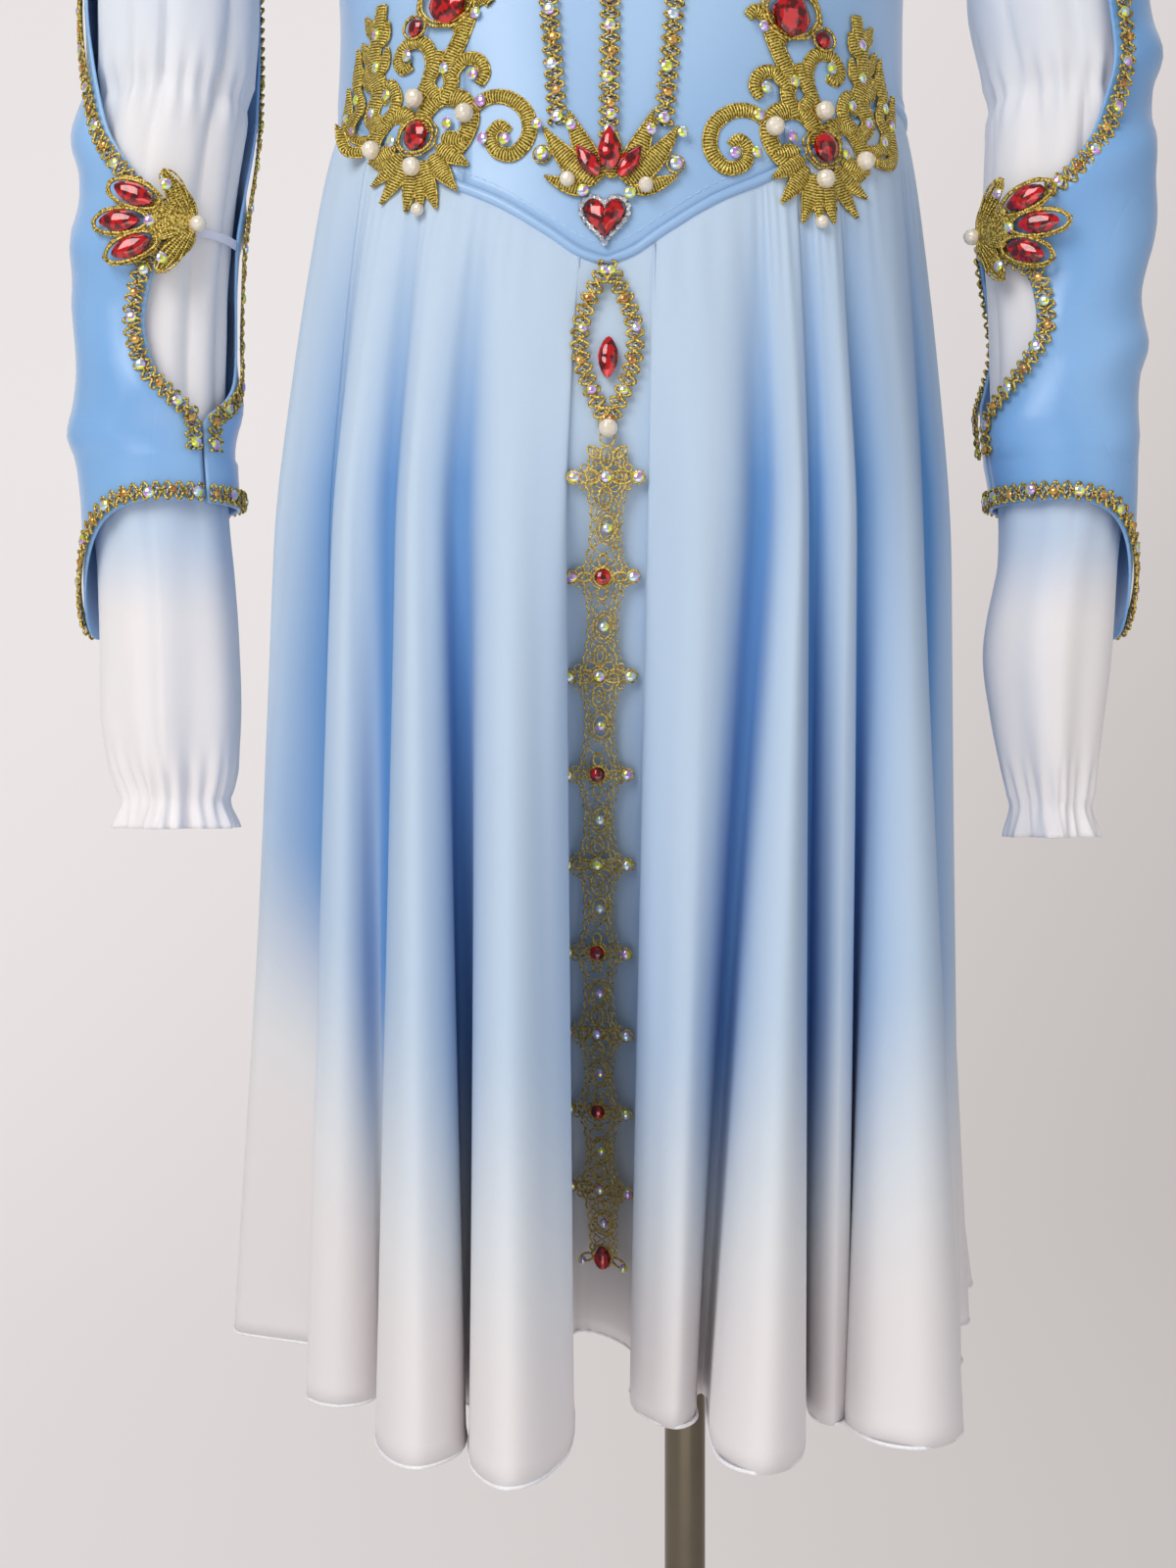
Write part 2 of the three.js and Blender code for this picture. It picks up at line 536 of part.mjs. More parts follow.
/* ---------- sleeves ---------- */
/* reading of a sleeve table: underarm side, outer side and half depth at a place down the arm */
function tubeReader(rows) {
  const read = {};
  for (const column of ['inX', 'outX', 'depth']) read[column] = curve(rows, 't', column);
  const level = rows.map((row) => ({ t: row.t, inZ: row.inZ ?? row.t, outZ: row.outZ ?? row.t }));
  read.inZ = curve(level, 't', 'inZ');
  read.outZ = curve(level, 't', 'outZ');
  return read;
}
const capCentre = torso.centre(UNDERARM_Z);
function sleeveTube(side, rows, last) {
  const cap = CAP.map((row) => ({
    ...row,
    inX: row.inX + side * capCentre,
    outX: row.outX + side * capCentre,
  }));
  return { side, last, arm: tubeReader([...cap, ...rows]), wrist: tubeReader(last) };
}
const TUBES = {
  left: sleeveTube(-1, ARM_LEFT, WRIST_LEFT),
  right: sleeveTube(1, ARM_RIGHT, WRIST_RIGHT),
};

/* point of a sleeve tube: degrees from the front, outwards counted up */
function tubePoint(side, tube, t, degrees, out) {
  const outward = Math.sin(rad(degrees));
  const x = lerp(tube.inX(t), tube.outX(t), (1 + outward) / 2);
  const z = lerp(tube.inZ(t), tube.outZ(t), (1 + outward) / 2);
  const level = Math.hypot(tube.outX(t) - tube.inX(t), tube.outZ(t) - tube.inZ(t));
  const push = (out * outward) / level;
  const y = -(tube.depth(t) + out) * Math.cos(rad(degrees));
  return new THREE.Vector3(
    side * (x + push * (tube.outX(t) - tube.inX(t))),
    y,
    z + push * (tube.outZ(t) - tube.inZ(t)),
  );
}

/* loop just inside the armhole, on the torso's surface: the sleeve is set in there */
function armholePoint(side, degrees, inset) {
  const up = Math.sin(rad(degrees));
  const z = ARMHOLE.z + (ARMHOLE.half - inset) * up;
  const toFront = Math.cos(rad(degrees)) > 0;
  const cut = (toFront ? ARMHOLE.front : ARMHOLE.back) - inset * 0.5;
  const turn = 90 + (toFront ? -1 : 1) * cut * Math.abs(Math.cos(rad(degrees)));
  return torsoPoint(side * turn, z, EASE + CLOTH / 2);
}

/* satin oversleeve: cap set in the armhole, wall open along the slash, closed cuff with a pointed edge */
const OVER_TOP = 1337;
const OVER_END = 893; // from here down the cuff follows its pointed edge
const OVER_LEVELS = [
  OVER_TOP, 1320, 1292, 1256, 1216, 1208, 1196, 1178, 1145, 1104, 1070, 1036, 1012, 1004, 998, 991, 978,
  968, 948, 930, 917, 908, OVER_END,
];
function oversleeve(name) {
  const { side, arm } = TUBES[name];
  const letter = side < 0 ? 'L' : 'R';
  const front = curve(SLASH, 't', `front${letter}`);
  const inner = curve(SLASH, 't', `inner${letter}`);
  const column = (t, i) => lerp(front(t), inner(t) + 360, i / OVER_COLUMNS);
  const columns = Array.from({ length: OVER_COLUMNS + 1 }, (_, i) => i);
  const grid = (inset, out) => [
    columns.map((i) => armholePoint(side, column(OVER_TOP, i), inset)),
    ...OVER_LEVELS.map((t) => columns.map((i) => tubePoint(side, arm, t, column(t, i), out))),
    columns.map((i) => cuffEdge(side, arm, column(OVER_END, i), out)),
  ];
  return wall(grid(ARMHOLE_ROOM, CLOTH), grid(ARMHOLE_ROOM + CLOTH, 0), false);
}

/* point on the cuff's lower edge or a little above it, the edge dropping to a point on the outer side */
function cuffEdge(side, arm, degrees, out, lift = 0) {
  const turn = ((degrees - CUFF.at + 540) % 360) - 180;
  const z = CUFF.z - CUFF.drop * Math.exp(-((turn / CUFF.spread) ** 2)) + lift;
  return tubePoint(side, arm, z, degrees, out);
}

/* chiffon undersleeve with its wrist gather and ruffle */
const UNDER_COLUMNS = 2 * WAVES;
const UNDER_LEVELS = [1256, 1213, 1160, 1104, 1066, 1056, 1046, 1000, 940, 880];
function undersleeve(name) {
  const { side, arm, wrist, last } = TUBES[name];
  const puff = curve(PUFF, 't', 'out');
  const columns = Array.from({ length: UNDER_COLUMNS }, (_, i) => (360 * i) / UNDER_COLUMNS);
  const grid = (move) => [
    ...UNDER_LEVELS.map((t) => columns.map((a) => tubePoint(side, arm, t, a, puff(t) + move))),
    ...last.map((row) =>
      columns.map((a, i) => tubePoint(side, wrist, row.t, a, (i % 2 ? 1 : -1) * row.wave + move)),
    ),
  ];
  return wall(grid(0), grid(-CLOTH), true);
}

/* ---------- trims ---------- */
/* gimp braid up the centre front panel */
const BRAIDS = [
  { name: 'left', bottomX: -21.5, bottomZ: 1013, topX: -44 },
  { name: 'centre', bottomX: -1, bottomZ: 1007, topX: 3 },
  { name: 'right', bottomX: 21, bottomZ: 1012, topX: 50 },
];
const BRAID_HEIGHTS = [0, 1045, LOWER_TOP, ...CENTRE_HEIGHTS.slice(LOWER.length, -1), NECK_Z - 2];
function bodiceBraid({ bottomX, bottomZ, topX }) {
  const row = (share, out) =>
    BRAID_HEIGHTS.map((height) => {
      const z = Math.max(height, bottomZ);
      const x = lerp(bottomX, topX, (z - bottomZ) / (NECK_Z - bottomZ)) + share * GIMP.width;
      return torsoPoint(frontAngle(x, z), z, OUTER + SEAM + out);
    });
  return wall([row(-0.5, GIMP.thick), row(0.5, GIMP.thick)], [row(-0.5, 0), row(0.5, 0)], false);
}

/* braid along both edges of the slash and round the cuff's lower edge */
const BRAID_OUT = CLOTH + 1.1;
const SLASH_BRAID = { inset: 7.5, half: 6.6 }; // in degrees round the sleeve
const SLASH_LEVELS = [
  1212, 1208, 1196, 1178, 1160, 1145, 1104, 1087, 1070, 1053, 1036, 1024, 1012, 1004, 998, 991, 978, 968,
  958, 948, 939, 930, 917, 908, OVER_END,
];
function slashBraid(name, edge) {
  const { side, arm } = TUBES[name];
  const letter = side < 0 ? 'L' : 'R';
  const degreesAt = curve(SLASH, 't', `${edge}${letter}`);
  const middle = (edge === 'front' ? 1 : -1) * SLASH_BRAID.inset;
  const row = (offset, out) => SLASH_LEVELS.map((t) => tubePoint(side, arm, t, degreesAt(t) + offset, out));
  const [start, end] = [middle - SLASH_BRAID.half, middle + SLASH_BRAID.half];
  const [low, high] = [BRAID_OUT, BRAID_OUT + GIMP.thick];
  return wall([row(start, high), row(end, high)], [row(start, low), row(end, low)], false);
}
const CUFF_BRAID = { gap: 2, bottom: 0.5, top: 8, steps: 22 };
function cuffBraid(name) {
  const { side, arm } = TUBES[name];
  const { gap, bottom, top, steps } = CUFF_BRAID;
  const start = SLASH[SLASH.length - 1][side < 0 ? 'frontL' : 'frontR'] + gap;
  const row = (lift, out) =>
    Array.from({ length: steps + 1 }, (_, i) =>
      cuffEdge(side, arm, start + ((360 - 2 * gap) * i) / steps, out, lift),
    );
  const [low, high] = [BRAID_OUT, BRAID_OUT + GIMP.thick];
  return wall([row(bottom, high), row(top, high)], [row(bottom, low), row(top, low)], false);
}

/* elastic strap across the narrow neck of the slash */
const STRAP = {
  top: 992,
  bottom: 988,
  steps: 5,
  left: { start: -31.8, end: -83.2 },
  right: { start: -72.8, end: -117.2 },
};
function strap(name) {
  const { side, arm } = TUBES[name];
  const { top, bottom, steps } = STRAP;
  const row = (t, out) =>
    Array.from({ length: steps + 1 }, (_, i) =>
      tubePoint(side, arm, t, lerp(STRAP[name].start, STRAP[name].end, i / steps), out),
    );
  return wall([row(top, 1), row(bottom, 1)], [row(top, 0), row(bottom, 0)], false);
}

/* raised embroidery stroke on a surface: centre line in the surface's own x and z, with widths */
function stroke(line, surface, low, high) {
  const rim = (sign, out) =>
    line.map((p, i) => {
      const a = line[Math.max(0, i - 1)];
      const b = line[Math.min(line.length - 1, i + 1)];
      const length = Math.hypot(b.x - a.x, b.z - a.z);
      const [nx, nz] = [-(b.z - a.z) / length, (b.x - a.x) / length];
      return surface(p.x + (sign * nx * p.width) / 2, p.z + (sign * nz * p.width) / 2, out);
    });
  return toSolid(wall([rim(-1, high), rim(1, high)], [rim(-1, low), rim(1, low)], false));
}

/* curl: an arc that tightens from one radius to another */
function curl({ x, z, from, to, start, end, wide, tip }) {
  const steps = Math.max(3, Math.ceil(Math.abs(end - start) / 50));
  return Array.from({ length: steps + 1 }, (_, i) => {
    const f = i / steps;
    const [angle, radius] = [rad(lerp(start, end, f)), lerp(from, to, f)];
    return { x: x + radius * Math.cos(angle), z: z + radius * Math.sin(angle), width: lerp(wide, tip, f) };
  });
}

/* leaf or drop from a root in a direction, widest a third of the way along */
function leaf({ x, z, turn, length, wide }) {
  const along = [0, 0.4, 1];
  const widths = [0.5, 1, 0.2];
  return along.map((f, i) => ({
    x: x + f * length * Math.cos(rad(turn)),
    z: z + f * length * Math.sin(rad(turn)),
    width: widths[i] * wide,
  }));
}

/* stone or pearl: a low dome on a surface */
function dome(surface, x, z, radius, low, height) {
  const sides = 6;
  const ring = (share, out) =>
    Array.from({ length: sides }, (_, i) => {
      const a = (2 * Math.PI * i) / sides;
      return surface(x + share * radius * Math.cos(a), z + share * radius * Math.sin(a), out);
    });
  const rings = [ring(1, low), ring(1, low + height * 0.45), ring(0.6, low + height)];
  const points = rings.flat();
  const faces = [];
  for (let i = 0; i < sides; i += 1) {
    const next = (i + 1) % sides;
    for (const base of [0, sides]) {
      const [a, b] = [base + i, base + next];
      faces.push(a, b, b + sides, a, b + sides, a + sides);
    }
    if (i > 0 && i < sides - 1) faces.push(0, i + 1, i, 2 * sides, 2 * sides + i, 2 * sides + i + 1);
  }
  return toSolid(closedGeometry(points, faces));
}

const APPLIQUE = { low: 0.3, high: 1.8 };
/* scrollwork of one hip applique, sized for the left one, about its round stone */
const SCROLLS = [
  { x: -12, z: 20, from: 22, to: 22, start: 200, end: 285, wide: 12, tip: 9 },
  { x: 12, z: 14, from: 14, to: 13, start: 215, end: 20, wide: 11, tip: 6 },
  { x: 37, z: -2, from: 16, to: 7, start: 150, end: -150, wide: 8, tip: 4 },
  { x: 20, z: 26, from: 14, to: 8, start: 245, end: 60, wide: 8, tip: 3 },
  { x: -3, z: 36, from: 13, to: 7, start: 260, end: 90, wide: 8, tip: 3 },
];
const LEAVES = [
  { x: -4, z: -6, turn: 245, length: 24, wide: 10 },
  { x: 0, z: -8, turn: 272, length: 28, wide: 10 },
  { x: 5, z: -6, turn: 300, length: 22, wide: 10 },
  { x: -6, z: 2, turn: 175, length: 24, wide: 10 },
  { x: 8, z: 2, turn: 15, length: 22, wide: 12 },
  { x: -20, z: 8, turn: 110, length: 26, wide: 10 },
];
const PEARLS = [
  { x: 0, z: 15, radius: 4 },
  { x: 22, z: 5, radius: 4 },
  { x: 0, z: -14, radius: 4 },
  { x: -17, z: -3, radius: 4 },
];
const HIP_STONES = [
  { name: 'left', x: -80, z: 1014, side: 1 },
  { name: 'right', x: 87, z: 1008, side: -1 },
];
function hipApplique({ x, z, side }) {
  const place = (px, pz, out) => frontPoint(x + side * px, z + pz, out);
  let solid = dome(place, 0, 0, 7, APPLIQUE.low, 4.5);
  for (const row of SCROLLS) solid = solid.add(stroke(curl(row), place, APPLIQUE.low, APPLIQUE.high));
  for (const row of LEAVES) solid = solid.add(stroke(leaf(row), place, APPLIQUE.low, APPLIQUE.high));
  for (const row of PEARLS) solid = solid.add(dome(place, row.x, row.z, row.radius, APPLIQUE.low, 4.5));
  return largest(solid);
}

/* the biggest body of a solid, without crumbs that a join leaves */
function largest(solid) {
  const bodies = solid.decompose();
  bodies.sort((a, b) => b.volume() - a.volume());
  return fromSolid(bodies[0]);
}

/* crown of leaves over the heart */
const CROWN = [
  { x: -3, z: 988, turn: 134, length: 40, wide: 9 },
  { x: -2, z: 989, turn: 114, length: 36, wide: 10 },
  { x: 0, z: 989, turn: 90, length: 26, wide: 12 },
  { x: 2, z: 989, turn: 64, length: 35, wide: 10 },
  { x: 3, z: 988, turn: 43, length: 38, wide: 9 },
];
const CROWN_LOW = 1.6; // clear of the braids, whose ends it covers
function crown() {
  const place = (px, pz, out) => frontPoint(POINT_X + 2 + px, pz, out);
  const [low, high] = [CROWN_LOW, CROWN_LOW + 1.6];
  const foot = { z: 988, width: 9 };
  let solid = stroke([{ x: -9, ...foot }, { x: 9, ...foot }], place, low, high);
  for (const row of CROWN) solid = solid.add(stroke(leaf(row), place, low, high));
  return largest(solid);
}

/* braid loop hanging below the point, with the drop-shaped eye open */
const LOOP = { topZ: 950, bottomZ: 888, half: 9.5, width: 5.5 };
function braidLoop() {
  const place = (px, pz, out) => hollowPoint(POINT_X + 1 + px, pz, out + 0.8);
  const side = (sign) =>
    Array.from({ length: 9 }, (_, i) => {
      const f = i / 8;
      const x = sign * LOOP.half * Math.sin(Math.PI * f);
      return { x, z: lerp(LOOP.topZ, LOOP.bottomZ, f), width: LOOP.width };
    });
  let solid = stroke(side(-1), place, 0, GIMP.thick).add(stroke(side(1), place, 0, GIMP.thick));
  solid = solid.add(dome(place, 0, LOOP.bottomZ - 1, 4.5, 0, 3));
  return largest(solid);
}

/* lace drop: a ladder of round eyelets, crosses and diamonds down the centre hollow */
const LACE = { topZ: 882, bottomZ: 524, pitch: 84, rail: 3.4, half: 7.2, arm: 11.5, stand: 3 };
function laceDrop() {
  const place = (px, pz, out) => hollowPoint(POINT_X + px, pz, out + LACE.stand);
  const rail = (sign) => {
    const line = [];
    const bends = [LACE.topZ, HIP_Z + 6, HIP_Z - 4, 790, 700, 610, LACE.bottomZ];
    for (const z of bends) line.push({ x: sign * LACE.half, z, width: LACE.rail });
    return stroke(line, place, 0, 1.4);
  };
  let solid = rail(-1).add(rail(1));
  const count = Math.floor((LACE.topZ - LACE.bottomZ) / (LACE.pitch / 2));
  for (let i = 0; i <= count; i += 1) {
    const z = LACE.topZ - 14 - (i * LACE.pitch) / 2;
    const arm = i % 2 ? LACE.arm : LACE.arm - 2;
    solid = solid.add(stroke([{ x: -arm, z, width: 6 }, { x: arm, z, width: 6 }], place, 0, 1.4));
  }
  const foot = { z: LACE.bottomZ, width: 5 };
  solid = solid.add(stroke([{ x: -9, ...foot }, { x: 9, ...foot }], place, 0, 1.4));
  return largest(solid);
}

/* leaf fan on the point of each oversleeve */
const FAN = { t: 991, reach: 24 };
function sleeveFan(name) {
  const { side, arm } = TUBES[name];
  const centre = side < 0 ? -22 : -58;
  const surface = (px, pz, out) => {
    const t = FAN.t + pz;
    const degrees = centre + (px / 36) * (180 / Math.PI);
    return tubePoint(side, arm, t, degrees, BRAID_OUT + GIMP.thick + 1.2 + out);
  };
  let solid = dome(surface, 0, 0, 6, 0, 1.5);
  for (const turn of [-46, 0, 46]) {
    solid = solid.add(stroke(leaf({ x: 0, z: 0, turn, length: FAN.reach + 6, wide: 15 }), surface, 0, 1.5));
  }
  return largest(solid);
}

/* heart stone in its rhinestone setting, below the crown */
const HEART = { z: 974, sides: 20, girdle: 2.2, top: 4.2, table: 0.62 };
function heartStone() {
  const place = (px, pz, out) => {
    const [x, z] = [POINT_X - 0.5 + px, HEART.z + pz];
    return torsoPoint(frontAngle(x, z), z, OUTER + SEAM + out);
  };
  const rim = [];
  for (let i = 0; i < HEART.sides; i += 1) {
    const a = (2 * Math.PI * i) / HEART.sides;
    const x = 10 * Math.sin(a) ** 3;
    const z = 8 * Math.cos(a) - 3.2 * Math.cos(2 * a) - 1.2 * Math.cos(3 * a);
    rim.push(new THREE.Vector2(x, z));
  }
  const at = (share, out) => rim.map((p) => place(share * p.x, share * p.y, out));
  const points = [...at(1, 0), ...at(1, HEART.girdle), ...at(HEART.table, HEART.top)];
  const faces = [];
  for (let i = 0; i < HEART.sides; i += 1) {
    const next = (i + 1) % HEART.sides;
    for (const base of [0, HEART.sides]) {
      const [a, b] = [base + i, base + next];
      faces.push(a, b, b + HEART.sides, a, b + HEART.sides, a + HEART.sides);
    }
  }
  const flat = THREE.ShapeUtils.triangulateShape(rim, []);
  const table = 2 * HEART.sides;
  for (const [a, b, c] of flat) faces.push(a, b, c, table + a, table + c, table + b);
  return closedGeometry(points, faces);
}

/* ---------- stand ---------- */
function lathe(profile, sides) {
  const geometry = new THREE.LatheGeometry(profile.map(([r, z]) => new THREE.Vector2(r, z)), sides);
  geometry.rotateX(Math.PI / 2);
  geometry.translate(POLE.x, 0, 0);
  return geometry;
}
const SOCKET = { height: 20, low: 24, high: 30 }; // its radii where it takes the pole and at the form
function standPieces() {
  const { radius, thick, collar, collarTop } = BASE;
  const plate = [
    [0, 0], [radius - 2, 0], [radius, 2], [radius, thick - 3], [radius - 6, thick], [collar + 6, thick],
    [collar, thick + 6], [collar - 4, collarTop], [0, collarTop],
  ];
  const [foot, neck] = [collarTop + SEAM, FORM_Z - SOCKET.height];
  const pole = [[0, foot], [POLE.radius, foot], [POLE.radius, neck], [0, neck]];
  const [low, high] = [neck + SEAM, FORM_Z - SEAM];
  const socket = [[0, low], [SOCKET.low, low], [SOCKET.high, neck + 6], [SOCKET.high, high], [0, high]];
  return [
    ['stand_base', lathe(plate, 24)],
    ['stand_pole', lathe(pole, 16)],
    ['stand_socket', lathe(socket, 12)],
  ];
}

/* ---------- assembly ---------- */
const finish = (name, color, roughness, metalness) =>
  new THREE.MeshStandardMaterial({ name, color, roughness, metalness });
const FINISHES = {
  satin: finish('satin', 0x9fc6ee, 0.4, 0),
  chiffon: finish('chiffon', 0xb9d8f2, 0.7, 0),
  white: finish('white chiffon', 0xe6e8ee, 0.7, 0),
  gold: finish('gold braid', 0xa8893a, 0.4, 0.5),
  red: finish('red stone', 0xa00812, 0.1, 0.2),
  linen: finish('form cover', 0xe9e4dc, 0.8, 0),
  steel: finish('steel', 0x6e675b, 0.3, 0.9),
};
const dress = new THREE.Group();
function add(name, geometry, finish) {
  const mesh = new THREE.Mesh(geometry, finish);
  mesh.name = name;
  dress.add(mesh);
}
for (const [name, geometry] of standPieces()) add(name, geometry, FINISHES.steel);
add('form_torso', buildForm(), FINISHES.linen);
for (const [name, geometry] of bodicePanels()) add(name, geometry, FINISHES.satin);
add('waist_piping', buildPiping(), FINISHES.satin);
for (const [name, geometry] of skirtPanels()) add(name, geometry, FINISHES.chiffon);
for (const name of ['left', 'right']) {
  add(`undersleeve_${name}`, undersleeve(name), FINISHES.white);
  add(`oversleeve_${name}`, oversleeve(name), FINISHES.satin);
  add(`slash_braid_front_${name}`, slashBraid(name, 'front'), FINISHES.gold);
  add(`slash_braid_inner_${name}`, slashBraid(name, 'inner'), FINISHES.gold);
  add(`cuff_braid_${name}`, cuffBraid(name), FINISHES.gold);
  add(`elastic_strap_${name}`, strap(name), FINISHES.white);
  add(`sleeve_fan_${name}`, sleeveFan(name), FINISHES.gold);
}
for (const row of BRAIDS) add(`bodice_braid_${row.name}`, bodiceBraid(row), FINISHES.gold);
for (const row of HIP_STONES) add(`hip_applique_${row.name}`, hipApplique(row), FINISHES.gold);
add('crown_applique', crown(), FINISHES.gold);
add('heart_stone', heartStone(), FINISHES.red);
add('braid_loop', braidLoop(), FINISHES.gold);
add('lace_drop', laceDrop(), FINISHES.gold);

export default dress;
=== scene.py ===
"""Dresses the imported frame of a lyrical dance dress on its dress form.

Every piece is made in the frame's own place, in metres. Sizes below are in millimetres and are
turned into metres when a mesh is written. +Z is up, the front of the dress faces -Y.
"""

import logging
import math
from dataclasses import dataclass, field
from enum import Enum
from typing import Callable, Sequence

import bmesh
import bpy
import numpy as np
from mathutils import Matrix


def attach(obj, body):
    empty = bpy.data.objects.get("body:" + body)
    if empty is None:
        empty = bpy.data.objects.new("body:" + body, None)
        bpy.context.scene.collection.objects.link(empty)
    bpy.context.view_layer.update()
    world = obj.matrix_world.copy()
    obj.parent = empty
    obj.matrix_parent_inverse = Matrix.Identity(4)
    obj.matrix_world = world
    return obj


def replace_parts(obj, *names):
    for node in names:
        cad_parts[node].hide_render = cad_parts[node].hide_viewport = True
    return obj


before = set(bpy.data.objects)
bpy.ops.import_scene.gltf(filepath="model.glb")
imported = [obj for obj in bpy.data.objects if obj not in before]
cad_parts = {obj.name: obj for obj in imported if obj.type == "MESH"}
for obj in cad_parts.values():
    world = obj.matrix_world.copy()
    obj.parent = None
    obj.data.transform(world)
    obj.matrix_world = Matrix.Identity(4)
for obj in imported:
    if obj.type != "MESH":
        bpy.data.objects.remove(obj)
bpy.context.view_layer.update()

LOG = logging.getLogger("dance_dress")
MM = 0.001
LOOK = "_look"
Point = np.ndarray
Piece = bpy.types.Object
Material = bpy.types.Material
Surface = Callable[[float, float, float], Point]

# ---------------------------------------------------------------- sizes shared with the frame
CLOTH = 1.5
EASE = 1.0
OUTER = EASE + CLOTH
WAIST_Z, HEM_Z, HIP_Z, FORM_Z = 1040.0, 476.0, 862.0, 855.0
NECK_Z, NECK_HALF, BACK_NECK_Z, UNDERARM_Z = 1330.0, 78.0, 1392.0, 1290.0
ARMHOLE_Z, ARMHOLE_HALF, ARMHOLE_FRONT, ARMHOLE_BACK, ARMHOLE_ROOM = 1344.0, 54.0, 36.0, 30.0, 2.7
PRINCESS_HALF = 69.0
POINT_X = -2.0
POLE_X, POLE_RADIUS, SOCKET_RADIUS = 35.0, 9.3, 30.0
BASE_RADIUS, BASE_THICK, COLLAR_RADIUS, COLLAR_TOP = 170.0, 12.0, 22.0, 52.0
SECTION_POWER = 2.3

TORSO = {
    "z": [855, 862, 880, 920, 960, 1000, 1040, 1080, 1120, 1160, 1200, 1240, 1265, 1290, 1320, 1350, 1375,
          1392, 1404, 1416, 1428, 1440, 1455, 1490, 1524, 1534],
    "centre": [5.5, 5.5, 5.5, 5.5, 5.5, 5.5, 5.5, 5.5, 5.0, 4.2, 3.2, 2.5, 2.5, 2.5, 2.5, 2.5, 2.5,
               2.5, 2.5, 2.5, 2.5, 2.5, 2.5, 2.5, 2.5, 2.5],
    "half": [121, 129, 133, 134, 132, 129, 126, 125, 127, 132, 139, 145, 148, 150, 154, 157, 156,
             150, 137, 117, 96, 76, 60, 53, 53, 46],
    "front": [84, 92, 97, 100, 101, 101, 101, 101, 103, 108, 116, 121, 117, 108, 96, 84, 71,
              59, 50, 46, 46, 48, 50, 50, 51, 44],
    "back": [86, 94, 99, 99, 96, 92, 89, 85, 85, 88, 91, 94, 95, 96, 95, 91, 81,
             69, 58, 52, 50, 50, 50, 50, 51, 44],
}
WAIST_SEAM = {
    "away": [0, 10, 22, 43, 68, 90, 112, 127, 150],
    "z": [957, 961, 969.5, 983, 995.5, 1010, 1029, 1040, 1040],
}
# a row for each fold: crest's angle on the hip ring, its tip and width at the hem, the hollow after it
FOLD_COLUMNS = ("hip", "x", "y", "width", "gap_hip", "gap_x", "gap_y", "gap", "skew")
FOLDS = [
    dict(zip(FOLD_COLUMNS, row))
    for row in (
        (11, 27, -88, 27, 21, 40, -42, 6, 0),
        (26, 58, -143, 40, 31, 84, -50, 6, 0),
        (36, 93, -84, 15, 41, 101, -44, 6, 0),
        (52, 124, -113, 50, 67, 139, -18, 8, 0),
        (80, 163, 4, 38, 92, 138, 46, 8, 0),
        (103, 180, 88, 42, 114, 140, 110, 8, 0),
        (124, 194, 176, 44, 135, 142, 146, 8, 0),
        (145, 132, 206, 42, 154, 96, 144, 8, 0),
        (163, 66, 188, 40, 172, 37, 136, 8, 0),
        (181, 8, 214, 42, 190, -22, 140, 8, 0),
        (199, -54, 190, 40, 208, -84, 140, 8, 0),
        (218, -118, 208, 42, 229, -136, 146, 8, 0),
        (242, -192, 172, 46, 260, -146, 118, 8, 0),
        (288, -183, 86, 60, 307, -131, 30, 8, 0),
        (316, -117, -58, 34, 323.5, -98, -46, 6, 0),
        (330.5, -76, -137, 36, 337.5, -62, -60, 6, 0),
        (346.5, -40, -159, 44, 359, -3, 40, 29, -28),
    )
]
HIP_CENTRE, HIP_HALF, HIP_FRONT, HIP_BACK, HIP_FOLD = 1.5, 150.0, 111.0, 113.0, 4.0
FRONT_FIRST, FRONT_LAST = 14, 4

ARM_COLUMNS = ("t", "inX", "inZ", "outX", "outZ", "depth")
CAP = [
    dict(zip(ARM_COLUMNS, row))
    for row in (
        (1337, 158, 1283, 181, 1391, 52),
        (1320, 161, 1272, 211, 1367, 50),
        (1292, 162, 1255, 232, 1329, 47),
        (1256, 162, 1232, 243, 1280, 44),
        (1213, 161, 1202, 246, 1224, 42),
    )
]
LEVEL_COLUMNS = ("t", "inX", "outX", "depth")
ARMS = {
    "left": ((1165, 159, 243, 41), (1104, 158, 238, 39), (1056, 162, 238.5, 37), (1000, 170, 243, 35),
             (960, 172.5, 243.8, 34), (905, 172.5, 243.4, 33), (870, 171, 240, 32), (811, 167.5, 238, 34)),
    "right": ((1165, 160, 246, 41), (1104, 162, 247, 40), (1056, 171, 248, 38), (1000, 170, 247, 36),
              (960, 172, 243.5, 34), (905, 172.5, 241, 33), (870, 177, 240, 32), (811, 172, 235, 34)),
}
WRIST_COLUMNS = ("t", "inX", "outX", "depth", "wave")
WRISTS = {
    "left": ((848, 172.5, 233.5, 29, 0.8), (811, 169.8, 232, 30, 1), (780, 168.8, 231.4, 30, 1.4),
             (753, 170.4, 227.3, 27, 1.6), (741, 173.4, 222.6, 23, 1.6), (737, 174.6, 221.4, 22, 1.2),
             (724, 171.8, 224, 25, 2.6)),
    "right": ((848, 179, 232, 28, 0.8), (802, 171, 228.6, 30, 1.2), (773, 174.6, 224.8, 28, 1.4),
              (753, 179, 222, 25, 1.6), (739, 183.2, 219.8, 21, 1.6), (734, 184.4, 218.8, 20, 1.2),
              (720, 182.5, 221, 23, 2.6)),
}
PUFF = {
    "t": [1300, 1213, 1178, 1104, 1066, 1056, 1046, 1000, 905, 870],
    "out": [-5, -5.4, -4, -3.4, -4, -6.5, -4, -3.2, -4.2, -3.6],
}
